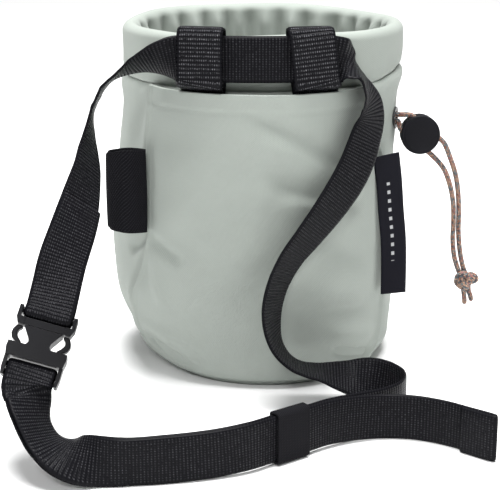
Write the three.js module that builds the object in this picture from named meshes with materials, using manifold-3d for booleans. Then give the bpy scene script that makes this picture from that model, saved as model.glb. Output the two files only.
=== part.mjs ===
// A climber's chalk bag on its belt: a fabric bucket with a stiffened rim and a drawcord closure,
// a rear pocket, two belt loops, a brush loop, and a 20 mm webbing belt with a side-release buckle.
// Millimetres, +Z up. The origin is the middle of the base, on the surface that the bag stands on.
// -Y is the belt side of the bag, and +X is on the right of someone who looks at that side.

import * as THREE from "three";
import { mergeVertices } from "three/addons/utils/BufferGeometryUtils.js";
import Module from "manifold-3d";

const manifold = await Module();
manifold.setup();

// ---------------------------------------------------------------- driving dimensions

const GAP = 0.35; // clearance between touching pieces
const BAG_RADIUS = 64; // radius of the profiles below, before they take the bag's outline
const COLLAR_Z = 138; // seam between the body and the rim collar
const RIM_Z = 161; // top of the rim
const SHELL_WALL = 1.2; // outer fabric with its coating
const LINING_WALL = 2; // fleece
const ROUND_STEPS = 40; // facets round the bag

// Half widths of the bag at each height: towards -X, +X, -Y and +Y.
const OUTLINE = [
  { z: 0, left: 58, right: 55, front: 56, rear: 56 },
  { z: 6, left: 65, right: 60.5, front: 60, rear: 61 },
  { z: 17, left: 68, right: 62.5, front: 61.5, rear: 63 },
  { z: 30, left: 70.5, right: 63.5, front: 62.5, rear: 64.5 },
  { z: 50, left: 72, right: 64, front: 63, rear: 65.5 },
  { z: 97, left: 68, right: 64, front: 63.5, rear: 65.5 },
  { z: 118, left: 66, right: 63.5, front: 63.5, rear: 65 },
  { z: COLLAR_Z, left: 64.5, right: 65, front: 64, rear: 64.5 },
  { z: RIM_Z, left: 64.5, right: 65, front: 64.5, rear: 64.5 },
];

const WEBBING = 20; // belt width
const WEBBING_THICK = 1.3;
const LAYER = 0.875; // half the distance between the middles of two stacked straps
const STANDING = WEBBING / 2 + 0.3; // height of the middle of a strap that stands on its edge

const CORD_RADIUS = 1.2;
const EXIT_ANGLE = -16; // where the drawcord leaves the bag, degrees round from +X
const EXIT_Z = 117.5;
const CORD_SPREAD = 1.45; // each strand's distance from the middle of the eyelet

// ---------------------------------------------------------------- materials

const finish = (color, roughness, metalness = 0) =>
  new THREE.MeshStandardMaterial({ color, roughness, metalness });

const shellFabric = finish(0xaab5ac, 0.85);
const liningFleece = finish(0xb9c1b8, 0.95);
const webbingBlack = finish(0x1d1d20, 0.8);
const elasticBlack = finish(0x17171a, 0.9);
const buckleBlack = finish(0x141416, 0.45);
const lockBlack = finish(0x1b1b1f, 0.5);
const labelBlack = finish(0x15161c, 0.8);
const cordMix = finish(0xa08474, 0.85);
const springSteel = finish(0xb8bcc0, 0.3, 0.9);
const hoopPlastic = finish(0xd8d8d4, 0.6);

const bag = new THREE.Group();

function add(name, geometry, material) {
  const mesh = new THREE.Mesh(geometry, material);
  mesh.name = name;
  bag.add(mesh);
  return mesh;
}

// ---------------------------------------------------------------- small helpers

const vec = (x, y, z) => new THREE.Vector3(x, y, z);
const radians = (degrees) => (degrees * Math.PI) / 180;
const mix = (a, b, t) => a + (b - a) * t;
const clamp01 = (t) => Math.min(1, Math.max(0, t));

// Moves every vertex of a geometry to move(x, y, z).
function reshape(geometry, move) {
  const position = geometry.attributes.position;
  for (let i = 0; i < position.count; i++) {
    const p = move(position.getX(i), position.getY(i), position.getZ(i));
    position.setXYZ(i, p.x, p.y, p.z);
  }
  return geometry;
}

function toSolid(geometry) {
  const bare = geometry.clone();
  bare.deleteAttribute("normal");
  bare.deleteAttribute("uv");
  const merged = mergeVertices(bare, 1e-4);
  return new manifold.Manifold(
    new manifold.Mesh({
      numProp: 3,
      vertProperties: new Float32Array(merged.attributes.position.array),
      triVerts: new Uint32Array(merged.index.array),
    }),
  );
}

function toGeometry(solid) {
  const mesh = solid.getMesh();
  const geometry = new THREE.BufferGeometry();
  geometry.setAttribute("position", new THREE.BufferAttribute(mesh.vertProperties, 3));
  geometry.setIndex(new THREE.BufferAttribute(mesh.triVerts, 1));
  return geometry;
}

// Joins the first list of geometries and cuts the second list away.
function carve(joined, removed = []) {
  let solid = toSolid(joined[0]);
  for (const geometry of joined.slice(1)) solid = solid.add(toSolid(geometry));
  for (const geometry of removed) solid = solid.subtract(toSolid(geometry));
  return toGeometry(solid);
}

// A plate: an outline of [x, y] points, from z = low to z = high.
function plate(outline, low, high) {
  const shape = new THREE.Shape(outline.map(([x, y]) => new THREE.Vector2(x, y)));
  const geometry = new THREE.ExtrudeGeometry(shape, { depth: high - low, bevelEnabled: false });
  return geometry.translate(0, 0, low);
}

// A straight rod of given radius between two points.
function rod(from, to, radius, sides = 12) {
  const along = to.clone().sub(from);
  const geometry = new THREE.CylinderGeometry(radius, radius, along.length(), sides);
  const turn = new THREE.Quaternion().setFromUnitVectors(vec(0, 1, 0), along.clone().normalize());
  geometry.applyQuaternion(turn);
  const middle = from.clone().add(to).multiplyScalar(0.5);
  return geometry.translate(middle.x, middle.y, middle.z);
}

// A round cord along a smooth curve through the points.
function cord(points, radius, stepLength = 5, sides = 8) {
  const path = new THREE.CatmullRomCurve3(points);
  const corners = Array.from({ length: sides }, (_, i) => {
    const angle = (i / sides) * 2 * Math.PI;
    return new THREE.Vector2(radius * Math.cos(angle), radius * Math.sin(angle));
  });
  const steps = Math.max(2, Math.round(path.getLength() / stepLength));
  return new THREE.ExtrudeGeometry(new THREE.Shape(corners), { extrudePath: path, steps });
}

// ---------------------------------------------------------------- straps
// A station is a point on a strap's middle line, with the direction across the strap there.

const station = (x, y, z, wx, wy, wz) => ({ at: vec(x, y, z), across: vec(wx, wy, wz).normalize() });

const tangentAt = (stations, i) => {
  const before = stations[Math.max(0, i - 1)].at;
  const after = stations[Math.min(stations.length - 1, i + 1)].at;
  return after.clone().sub(before).normalize();
};

// The same stations, moved off the strap's face by a distance.
function offset(stations, distance) {
  return stations.map(({ at, across }, i) => {
    const face = tangentAt(stations, i).cross(across).normalize();
    return { at: at.clone().addScaledVector(face, distance), across };
  });
}

function strap(stations, width, thickness, stepLength = 8) {
  const middle = new THREE.CatmullRomCurve3(stations.map((s) => s.at));
  const side = new THREE.CatmullRomCurve3(stations.map((s) => s.across));
  const places = [];
  for (let i = 0; i + 1 < stations.length; i++) {
    const length = stations[i].at.distanceTo(stations[i + 1].at);
    const count = Math.max(1, Math.ceil(length / stepLength));
    for (let k = 0; k < count; k++) places.push((i + k / count) / (stations.length - 1));
  }
  places.push(1);
  const frames = places.map((t) => {
    const along = middle.getTangent(t);
    const across = side.getPoint(t);
    across.addScaledVector(along, -across.dot(along)).normalize();
    return { at: middle.getPoint(t), across, face: along.clone().cross(across) };
  });
  const last = frames.length - 1;
  const box = new THREE.BoxGeometry(width, thickness, last, 1, 1, last);
  return reshape(box, (x, y, z) => {
    const frame = frames[Math.round(z + last / 2)];
    return frame.at.clone().addScaledVector(frame.across, x).addScaledVector(frame.face, y);
  });
}

// ---------------------------------------------------------------- the bag's walls

// Half widths of the bag at a height, between the rows of the outline.
function outlineAt(z) {
  const above = OUTLINE.findIndex((row) => row.z >= z);
  if (above <= 0) return OUTLINE[0];
  const low = OUTLINE[above - 1];
  const high = OUTLINE[above];
  const t = (z - low.z) / (high.z - low.z);
  const between = (side) => mix(low[side], high[side], t);
  return {
    left: between("left"),
    right: between("right"),
    front: between("front"),
    rear: between("rear"),
  };
}

// A profile radius, an angle round from +X and a height, on the bag's outline.
function bagPoint(radius, angle, z) {
  const row = outlineAt(z);
  const x = Math.cos(angle) * (Math.cos(angle) < 0 ? row.left : row.right);
  const y = Math.sin(angle) * (Math.sin(angle) < 0 ? row.front : row.rear);
  return vec((x * radius) / BAG_RADIUS, (y * radius) / BAG_RADIUS, z);
}

// A ring round the bag from a closed profile of [radius, z] points, listed clockwise.
function ring(profile) {
  const points = [...profile, profile[0]].map(([r, z]) => new THREE.Vector2(r, z));
  const lathe = new THREE.LatheGeometry(points, ROUND_STEPS);
  return reshape(lathe, (x, y, z) => bagPoint(Math.hypot(x, z), Math.atan2(x, z), y));
}

// Heights of the outline's rows between two heights, with both ends.
const heightsBetween = (low, high) => [
  low,
  ...OUTLINE.map((row) => row.z).filter((z) => z > low + 1 && z < high - 1),
  high,
];

// A plain wall from low to high between two insets from the bag's outer face.
function wallProfile(outerInset, innerInset, low, high) {
  const heights = heightsBetween(low, high);
  const outer = heights.map((z) => [BAG_RADIUS - outerInset, z]);
  const inner = heights.map((z) => [BAG_RADIUS - innerInset, z]).reverse();
  return [...outer, ...inner];
}

const PLATE_TOP = 2; // thickness of the base panel
const EYELET_HOLE = 4.1;

const exitAngle = radians(EXIT_ANGLE);
const exitPoint = bagPoint(BAG_RADIUS, exitAngle, EXIT_Z);
const exitWay = vec(Math.cos(exitAngle), Math.sin(exitAngle), 0);
const exitAt = (out, up = 0) => exitPoint.clone().addScaledVector(exitWay, out).add(vec(0, 0, up));

const baseRadius = BAG_RADIUS - SHELL_WALL - 0.45;
const basePanel = ring([[0, 0], [baseRadius, 0], [baseRadius, PLATE_TOP], [0, PLATE_TOP]]);
add("base_panel", basePanel, shellFabric);

const shellWall = ring(wallProfile(0, SHELL_WALL, 0, COLLAR_Z - GAP));
const eyeletCut = rod(exitAt(-6), exitAt(6), EYELET_HOLE, 16);
add("outer_shell", carve([shellWall], [eyeletCut]), shellFabric);

// The rim collar is one band, folded over the hoop: up outside, over the rim, down inside.
const COLLAR_WALL = 1.1;
const COLLAR_DEPTH = 7.2; // from the outer face to the inner face of the rolled rim
const ROLL_STEPS = 6;

function rollArc(inset, steps) {
  const half = COLLAR_DEPTH / 2;
  return Array.from({ length: steps + 1 }, (_, i) => {
    const angle = (i / steps) * Math.PI;
    const radius = BAG_RADIUS - half + (half - inset) * Math.cos(angle);
    return [radius, RIM_Z - half + (half - inset) * Math.sin(angle)];
  });
}

const collarLow = COLLAR_Z + GAP / 2;
const collarProfile = [
  [BAG_RADIUS, collarLow],
  ...rollArc(0, ROLL_STEPS),
  [BAG_RADIUS - COLLAR_DEPTH, collarLow],
  [BAG_RADIUS - COLLAR_DEPTH + COLLAR_WALL, collarLow],
  ...rollArc(COLLAR_WALL, ROLL_STEPS).reverse(),
  [BAG_RADIUS - COLLAR_WALL, collarLow],
];
add("rim_collar", ring(collarProfile), shellFabric);

add("rim_hoop", ring(wallProfile(2.7, 4.5, COLLAR_Z + 3, RIM_Z - 4.5)), hoopPlastic);

// The gathered closure skirt hangs inside the rim and ends in the drawcord's channel.
const CHANNEL_TOP = 121.6;
const CHANNEL_LOW = 113;
const SKIRT_WALL = 1.1;
const skirtOuter = BAG_RADIUS - COLLAR_DEPTH + COLLAR_WALL - 0.1;
const channelOuter = skirtOuter - 2.4;
const skirtProfile = [
  [skirtOuter, CHANNEL_LOW],
  [skirtOuter, CHANNEL_LOW + SKIRT_WALL],
  [channelOuter, CHANNEL_LOW + SKIRT_WALL],
  [channelOuter, CHANNEL_TOP - SKIRT_WALL],
  [skirtOuter, CHANNEL_TOP],
  [skirtOuter, COLLAR_Z - GAP],
  [skirtOuter - SKIRT_WALL, COLLAR_Z - GAP],
  [skirtOuter - SKIRT_WALL, CHANNEL_TOP + 0.6],
  [channelOuter - SKIRT_WALL, CHANNEL_TOP - 0.6],
  [channelOuter - SKIRT_WALL, CHANNEL_LOW],
];
add("closure_skirt", ring(skirtProfile), shellFabric);

// Fleece bucket inside the shell, open at the top.
const LINING_INSET = 3;
const liningHeights = heightsBetween(PLATE_TOP + 1, CHANNEL_LOW - GAP);
const liningOuter = BAG_RADIUS - LINING_INSET;
const liningProfile = [
  [0, PLATE_TOP + 1],
  ...liningHeights.map((z) => [liningOuter, z]),
  ...liningHeights.map((z) => [liningOuter - LINING_WALL, z]).reverse().slice(0, -1),
  [liningOuter - LINING_WALL, PLATE_TOP + 1 + LINING_WALL],
  [0, PLATE_TOP + 1 + LINING_WALL],
];
add("inner_lining", ring(liningProfile), liningFleece);

// ---------------------------------------------------------------- rear pocket

const POCKET_WALL = 1.2;
const POCKET_HEIGHTS = [3, 6, 17, 30, 50, 73, 97, 108, 118, 128, COLLAR_Z];
const POCKET_GAPE = 7.2; // how far the free top edge stands off the bag
const LEFT_SEAM = -139; // degrees round from +X
const RIGHT_SEAM = -37;
const RIGHT_CORNER = -46; // the free edge ends short of the right seam

// A point of the pocket panel: across from 0 to 1, at a height, out = 0 inside and 1 outside.
function pocketPoint(across, z, out) {
  const right = mix(RIGHT_SEAM, RIGHT_CORNER, clamp01((z - 105) / (COLLAR_Z - 105)));
  const angle = radians(mix(LEFT_SEAM, right, across));
  const swell = 1 - Math.pow(Math.abs(2 * across - 1), 2.6);
  const stand = 0.5 + POCKET_GAPE * swell * Math.pow(z / COLLAR_Z, 1.2) + out * POCKET_WALL;
  return bagPoint(BAG_RADIUS, angle, z).add(vec(Math.cos(angle) * stand, Math.sin(angle) * stand, 0));
}

const pocketRows = POCKET_HEIGHTS.length - 1;
const pocketBlock = new THREE.BoxGeometry(1, 1, pocketRows, 24, 1, pocketRows);
const pocketPanel = reshape(pocketBlock, (x, y, z) => {
  const height = POCKET_HEIGHTS[Math.round(z + pocketRows / 2)];
  return pocketPoint(x + 0.5, height, 0.5 - y);
});
add("rear_pocket_panel", pocketPanel, shellFabric);

// ---------------------------------------------------------------- belt loops
// Each loop is one strap, sewn to the bag under the pocket's edge: up behind the belt, over it,
// and down in front of it. It lies flat on the bag where it is sewn, and turns to the belt above.

const LOOP_PATH = [ // distance out from the rear leg, height
  [0, 128], [0, 136], [0, 146], [0, 156], [0, 161.5], [0.9, 164.1], [3.4, 165.3], [5.9, 164.1],
  [7.2, 161.5], [7.9, 155], [8.4, 148], [8.4, 142.9], [7.3, 140.8], [4.4, 139.4], [2.3, 137.6],
  [1.8, 134.5], [1.75, 128],
];

// lean is how far the loop moves towards -X for each millimetre it rises above its seam.
function beltLoop(x, lean, sewnY, beltY, sewnTurn, beltTurn) {
  const stations = LOOP_PATH.map(([out, z]) => {
    const rise = clamp01((z - COLLAR_Z) / 4);
    const turn = radians(mix(sewnTurn, beltTurn, rise));
    const away = vec(Math.sin(turn), -Math.cos(turn), 0);
    const shift = lean * Math.max(0, z - COLLAR_Z);
    const at = vec(x - shift, mix(sewnY, beltY, rise), z).addScaledVector(away, out);
    return { at, across: vec(Math.cos(turn), Math.sin(turn), 0) };
  });
  return strap(stations, WEBBING, WEBBING_THICK, 20);
}

add("belt_loop_left", beltLoop(-25.5, 0, -60.4, -63, -23, -11), webbingBlack);
add("belt_loop_right", beltLoop(22.2, 0.11, -61.5, -62.8, 20, 9), webbingBlack);

// ---------------------------------------------------------------- buckle
// Its own frame: X across the strap, Y along it from the male half to the female half, Z out of
// the face that looks away from the bag.

const buckleMiddle = vec(-90.2, -130, 46.1);
const buckleAlong = vec(-0.25, -0.55, -0.797).normalize();
const buckleFace = buckleAlong.clone().cross(vec(0.9535, -0.08, -0.29)).normalize();
const buckleAcross = buckleAlong.clone().cross(buckleFace);
const buckleFrame = new THREE.Matrix4()
  .makeBasis(buckleAcross, buckleAlong, buckleFace)
  .setPosition(buckleMiddle);
const inBuckle = (x, y, z) => vec(x, y, z).applyMatrix4(buckleFrame);

const WEB_BAR_Y = -12.6; // bar that the sewn end of the belt goes round
const WEB_BAR_RADIUS = 1.2;
const LADDER_BAR_Y = 10.2; // bar that the adjustable end of the belt goes round
const END_BAR_Y = 13.7;
const LADDER_BAR_RADIUS = 1.1;

const mirrored = (outline) => outline.map(([x, y]) => [-x, y]).reverse();

const BAR_HALF = 11; // half the length of each bar, into the ears or rails
const bar = (y, radius) => rod(vec(-BAR_HALF, y, 0), vec(BAR_HALF, y, 0), radius);

const ear = [
  [10.5, -14.2], [12, -14.2], [12.1, -9], [11, -6.4], [8.4, -6.4], [8.4, -8.4], [10.5, -8.4],
];
const beam = [[-9, -8.2], [9, -8.2], [9, -6.4], [-9, -6.4]];
const tongue = [[-2.1, -7], [2.1, -7], [2.1, 2.6], [1.2, 3.8], [-1.2, 3.8], [-2.1, 2.6]];
const maleHalf = carve([
  plate(beam, -2.8, 2.8),
  plate(ear, -3, 3),
  plate(mirrored(ear), -3, 3),
  plate(tongue, -1.2, 1.2),
  bar(WEB_BAR_Y, WEB_BAR_RADIUS),
]);
add("buckle_male", maleHalf.applyMatrix4(buckleFrame), buckleBlack);

// Each spring arm bends at its root beside the beam and ends in a barb behind the female lip.
const arm = [
  [8.5, -6], [10.9, -6], [12, -4], [12.3, -2.2], [11.6, -0.2], [9.6, 1], [9.3, 2.7], [10.6, 3],
  [10.2, 4.4], [8.6, 5.4], [7.4, 4.4], [7.4, 0.6], [8.9, -0.8], [9.9, -2.4], [9.6, -4], [8.5, -5],
];
const ARM_HALF = 1.9;
const armLeft = plate(arm, -ARM_HALF, ARM_HALF);
const armRight = plate(mirrored(arm), -ARM_HALF, ARM_HALF);
add("buckle_arm_left", armLeft.applyMatrix4(buckleFrame), buckleBlack);
add("buckle_arm_right", armRight.applyMatrix4(buckleFrame), buckleBlack);

// The female half is waisted where the arms lie, and hollow below its shoulders.
const femaleSide = [
  [8, -6], [6.4, -3.6], [4.7, -1], [4.4, 0.4], [5.2, 1.5], [12.2, 1.5], [12.4, 4], [11.8, 6.7],
];
const femaleBody = plate([...mirrored(femaleSide), ...femaleSide], -4, 4);
const rail = [[10.4, 6.5], [12, 6.5], [12, 12], [11.6, 15.2], [10.4, 15.2]];
const FEMALE_HOLLOW = 2.35;
const barbHollow = [[5.6, 2.6], [10.95, 2.6], [10.95, 5.9], [5.6, 5.9]];
const barbMouth = [[5.6, 0], [9.75, 0], [9.75, 3], [5.6, 3]];
const tongueHollow = plate([[-2.6, -7], [2.6, -7], [2.6, 4.4], [-2.6, 4.4]], -1.6, 1.6);
const femaleHalf = carve(
  [
    femaleBody,
    plate(rail, -2.9, 2.9),
    plate(mirrored(rail), -2.9, 2.9),
    bar(LADDER_BAR_Y, LADDER_BAR_RADIUS),
    bar(END_BAR_Y, LADDER_BAR_RADIUS),
  ],
  [
    tongueHollow,
    ...[barbHollow, barbMouth].flatMap((outline) => [
      plate(outline, -FEMALE_HOLLOW, FEMALE_HOLLOW),
      plate(mirrored(outline), -FEMALE_HOLLOW, FEMALE_HOLLOW),
    ]),
  ],
);
add("buckle_female", femaleHalf.applyMatrix4(buckleFrame), buckleBlack);

// ---------------------------------------------------------------- belt

const atBuckle = (y, z, side) => ({
  at: inBuckle(0, y, z),
  across: buckleAcross.clone().multiplyScalar(side),
});

// Half a turn of strap round a buckle bar, from the face at start * radius to the other face.
function roundBar(barY, barRadius, start, towards, side) {
  const radius = barRadius + 0.3 + WEBBING_THICK / 2;
  return [0, 30, 60, 90, 120, 150, 180].map((degrees) => {
    const angle = radians(degrees);
    const y = barY + towards * radius * Math.sin(angle);
    return atBuckle(y, start * radius * Math.cos(angle), side);
  });
}

// From the male half up to the end of its sewn double layer.
const doubledRun = [
  station(-84.6, -117.5, 65.6, -0.95, 0.06, 0.3),
  station(-82.3, -111, 75.8, -0.93, -0.2, 0.3),
  station(-78.3, -103, 87.6, -0.84, -0.42, 0.34),
  station(-75.6, -95.5, 96.5, -0.72, -0.6, 0.34),
];
// On over the left side of the bag, through both belt loops.
const upperRun = [
  station(-73.7, -85, 108.2, -0.46, -0.84, 0.28),
  station(-73.4, -79.5, 115.1, -0.3, -0.92, 0.24),
  station(-73.2, -75, 122.1, -0.1, -0.97, 0.22),
  station(-72.9, -72, 127.6, 0.02, -0.98, 0.19),
  station(-72.3, -69.5, 131.4, 0.06, -0.98, 0.2),
  station(-70.4, -67, 136.1, 0.05, -0.97, 0.22),
  station(-68.4, -65.2, 139.4, 0.05, -0.97, 0.22),
  station(-65.2, -63.5, 142.7, 0.06, -0.98, 0.21),
  station(-60.9, -62.3, 145.6, 0.06, -0.95, 0.31),
  station(-56.7, -61.6, 147.7, 0.05, -0.89, 0.45),
  station(-52.3, -61.8, 149.3, 0.07, -0.83, 0.56),
  station(-47.7, -62.4, 150.5, 0.08, -0.72, 0.7),
  station(-42.5, -63.5, 151.5, 0.05, -0.5, 0.86),
  station(-36.9, -64.7, 152.1, 0, -0.12, 0.99),
  station(-26, -66.7, 152.3, 0, 0, 1),
  station(-14, -68.8, 152.3, 0, 0, 1),
  station(-2, -69.5, 152.3, 0, 0, 1),
  station(10, -68.8, 152.3, 0, 0, 1),
  station(21, -66.8, 152.3, 0, 0, 1),
  station(27, -64.9, 152.1, 0, 0, 1),
];
// Down across the pocket to the floor, and round the U-turn in front of the bag.
const drop = [
  station(33, -63, 150.9, 0, 0.02, 1),
  station(36.4, -62.2, 149.5, 0.03, 0.66, 0.75),
  station(38.5, -61.9, 147.9, 0.04, 0.9, 0.42),
  station(40.5, -61.5, 146.2, 0.06, 0.99, 0.12),
  station(42.4, -61.1, 143.5, 0.1, 0.99, -0.02),
  station(44.1, -60.4, 139.9, 0.2, 0.97, -0.1),
  station(45.8, -59.5, 135.9, 0.35, 0.93, -0.13),
  station(47, -58.8, 131.6, 0.5, 0.85, -0.16),
  station(47.3, -58.5, 126.1, 0.6, 0.76, -0.25),
  station(46.5, -59.2, 121.6, 0.65, 0.69, -0.31),
  station(44.8, -60.8, 117, 0.69, 0.61, -0.38),
  station(42.7, -62.8, 110.9, 0.7, 0.55, -0.46),
  station(39.7, -65.2, 104, 0.68, 0.52, -0.52),
  station(35.8, -67.6, 97.3, 0.64, 0.52, -0.57),
  station(28.4, -71, 86.7, 0.57, 0.58, -0.58),
  station(20.2, -73.5, 76.2, 0.52, 0.67, -0.54),
  station(12.4, -75.5, 66.3, 0.5, 0.74, -0.44),
  station(6.8, -77.5, 55.6, 0.5, 0.8, -0.3),
  station(4.1, -78.8, 44.6, 0.47, 0.86, -0.15),
  station(4.4, -79.8, 35.2, 0.36, 0.93, -0.02),
  station(7.1, -80.2, 26.5, 0.18, 0.98, 0),
  station(12.2, -80.5, 20.3, 0.02, 1, 0),
  station(17.8, -80.3, 17.2, -0.05, 1, 0),
  station(24.2, -80, 15.7, -0.04, 1, 0.06),
  station(31.3, -79.6, 14, 0, 0.96, 0.28),
  station(38.6, -79, 12.5, 0.03, 0.85, 0.52),
  station(46.2, -78.5, 11.5, 0.05, 0.5, 0.86),
  station(52.5, -78.2, 10.6, 0, 0.12, 0.99),
  station(57, -80, STANDING, 0, 0, 1),
  station(61.5, -90, STANDING, 0, 0, 1),
  station(59, -101, STANDING, 0, 0, 1),
  station(51, -109.5, STANDING, 0, 0, 1),
  station(40, -116.3, 10.8, 0, 0, 1),
];
// Both layers from the female half down to the floor, along it, and through the keeper.
const KEEPER_LIFT = 11.5; // height of the middle of the straps inside the keeper
const floorRun = [
  station(-93.8, -141.7, 29.5, 0.86, 0.42, -0.3),
  station(-93.1, -145, 25.1, 0.71, 0.64, -0.3),
  station(-91.4, -148.5, 20.6, 0.56, 0.78, -0.28),
  station(-88.3, -152, 16.2, 0.52, 0.83, -0.2),
  station(-83.8, -155.8, 13.2, 0.52, 0.85, 0),
  station(-78.2, -158.8, 11.1, 0.4, 0.83, 0.38),
  station(-71.6, -160.8, 10.4, 0.19, 0.6, 0.78),
  station(-63.5, -162, STANDING, 0, 0.15, 0.99),
  station(-55, -162.5, STANDING, 0, 0, 1),
  station(-38, -160, STANDING, 0, 0, 1),
  station(-19, -155.5, 10.8, 0, 0, 1),
  station(-5.5, -150, KEEPER_LIFT, 0, 0, 1),
  station(2.5, -144, KEEPER_LIFT, 0, 0, 1),
  station(10.5, -138, KEEPER_LIFT, 0, 0, 1),
  station(18.5, -132, KEEPER_LIFT, 0, 0, 1),
  station(26.5, -126, KEEPER_LIFT, 0, 0, 1),
];
// The loose tail, with its last 16 mm folded back towards -Y as a hem.
const tail = [
  station(38, -120.8, 10.9, 0, 0, 1),
  station(50, -117.5, STANDING, 0, 0, 1),
  station(62, -118.5, STANDING, 0, 0, 1),
  station(74, -123.8, STANDING, 0, 0, 1),
  station(84, -131.4, STANDING, 0, 0, 1),
  station(92.8, -138.6, STANDING, 0, 0, 1),
  station(93.5, -139.7, STANDING, 0, 0, 1),
  station(92.9, -140.4, STANDING, 0, 0, 1),
  station(91.7, -140, STANDING, 0, 0, 1),
  station(80.5, -130.8, STANDING, 0, 0, 1),
];

const beltRoute = [
  ...offset(doubledRun, LAYER).reverse(),
  atBuckle(-16.5, 1.9, 1),
  ...roundBar(WEB_BAR_Y, WEB_BAR_RADIUS, 1, 1, 1),
  atBuckle(-16.5, -1.9, 1),
  ...offset(doubledRun, -LAYER),
  ...upperRun,
  ...drop,
  ...offset(floorRun, -LAYER).reverse(),
  atBuckle(17.5, -1.8, -1),
  ...roundBar(LADDER_BAR_Y, LADDER_BAR_RADIUS, -1, -1, -1),
  atBuckle(17.5, 1.8, -1),
  ...offset(floorRun, LAYER),
  ...tail,
];
add("belt_webbing", strap(beltRoute, WEBBING, WEBBING_THICK), webbingBlack);

// ---------------------------------------------------------------- tail keeper
// An elastic band round both layers of the belt, free to slide along their straight stretch.

const KEEPER_LENGTH = 16;
const KEEPER_WALL = 1.1;
const keeperInsideY = 4 * LAYER + 0.6; // two straps and the space between them
const keeperInsideZ = WEBBING + 0.8;
const keeperOuter = new THREE.BoxGeometry(
  KEEPER_LENGTH, keeperInsideY + 2 * KEEPER_WALL, keeperInsideZ + 2 * KEEPER_WALL);
const keeperInner = new THREE.BoxGeometry(KEEPER_LENGTH + 2, keeperInsideY, keeperInsideZ);
const keeper = add("tail_keeper", carve([keeperOuter], [keeperInner]), elasticBlack);
keeper.position.set(10.5, -138, KEEPER_LIFT + 0.1);
keeper.rotation.z = Math.atan2(6, 8);

// ---------------------------------------------------------------- brush loop and side label

const BRUSH_LOW = 71.5;
const BRUSH_HIGH = 109.5;

function ovalOutline(halfLength, halfDepth, steps = 24) {
  return Array.from({ length: steps }, (_, i) => {
    const angle = (i / steps) * 2 * Math.PI;
    return [halfLength * Math.cos(angle), halfDepth * Math.sin(angle)];
  });
}

const brushLoop = carve(
  [plate(ovalOutline(9, 4.8), BRUSH_LOW, BRUSH_HIGH)],
  [plate(ovalOutline(7.8, 3.6), BRUSH_LOW - 1, BRUSH_HIGH + 1)],
);
const brush = add("brush_loop", brushLoop, elasticBlack);
brush.position.set(-60.8, -49.3, 0);
brush.rotation.z = radians(-6);

const LABEL_WIDTH = 12.5;
const labelRun = [
  station(55.4, -43.9, 105.6, 1, 0.25, 0.05),
  station(57.2, -42.2, 93.3, 1, 0.28, 0.03),
  station(58.6, -41, 79, 1, 0.3, 0.02),
  station(60.1, -40.2, 65, 1, 0.3, 0),
  station(60.6, -40.2, 51.5, 1, 0.3, -0.03),
  station(60.7, -40.5, 39.5, 1, 0.3, -0.06),
];
add("side_label", strap(labelRun, LABEL_WIDTH, 0.8), labelBlack);

// ---------------------------------------------------------------- drawcord

// Eyelet: a spool round the hole in the shell, from a closed profile of [radius, out] points.
const eyeletProfile = [
  [5.2, -2.3], [5.2, -1.75], [3.7, -1.75], [3.7, 0.75], [5.2, 0.75], [5.2, 1.2], [3.2, 1.2], [3.2, -2.3],
];
const eyeletPoints = [...eyeletProfile, eyeletProfile[0]];
const eyelet = new THREE.LatheGeometry(eyeletPoints.map(([r, out]) => new THREE.Vector2(r, out)), 20);
eyelet.applyQuaternion(new THREE.Quaternion().setFromUnitVectors(vec(0, 1, 0), exitWay));
eyelet.translate(exitPoint.x, exitPoint.y, exitPoint.z);
add("drawcord_eyelet", eyelet, lockBlack);

// Cord lock's frame: Z is its axis, out of the button's face, and X is the way the cords run.
const lockMiddle = vec(73, -19, 110.3);
const lockAxis = vec(0.03, -0.995, 0.02).normalize();
const lockAlong = vec(0.77, 0, -0.64);
lockAlong.addScaledVector(lockAxis, -lockAlong.dot(lockAxis)).normalize();
const lockFrame = new THREE.Matrix4()
  .makeBasis(lockAlong, lockAxis.clone().cross(lockAlong), lockAxis)
  .setPosition(lockMiddle);
const inLock = (x, y, z) => vec(x, y, z).applyMatrix4(lockFrame);

const LANE = 4; // each strand's distance from the middle of the lock
const LANE_END = 11.5; // where the straight stretch through the lock ends

const strandA = [
  exitAt(-3, CORD_SPREAD), exitAt(0, CORD_SPREAD), exitAt(2.5, CORD_SPREAD + 0.1),
  inLock(-8.5, LANE, 0), inLock(-4, LANE, 0), inLock(0, LANE, 0), inLock(6, LANE, 0),
  inLock(LANE_END, LANE, 0),
  vec(87.6, -19.5, 99), vec(90.4, -19.5, 91), vec(92, -19.5, 82), vec(92.7, -19.5, 72),
  vec(92.9, -19.5, 63), vec(93.9, -19.5, 54), vec(95.8, -19.5, 45.6),
];
const strandB = [
  exitAt(-3, -CORD_SPREAD), exitAt(0, -CORD_SPREAD), exitAt(2, -CORD_SPREAD - 0.1),
  inLock(-8.2, -LANE, 0), inLock(-4, -LANE, 0), inLock(0, -LANE, 0), inLock(6, -LANE, 0),
  inLock(LANE_END, -LANE, 0),
  vec(84.6, -20, 94), vec(87.7, -21, 86.5), vec(89.5, -21.5, 78), vec(90, -21.8, 69),
  vec(90, -21.8, 60), vec(91, -21.5, 52), vec(93, -20.8, 45.6),
];
add("drawcord_strand_a", cord(strandA, CORD_RADIUS, 4), cordMix);
add("drawcord_strand_b", cord(strandB, CORD_RADIUS, 4), cordMix);

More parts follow.
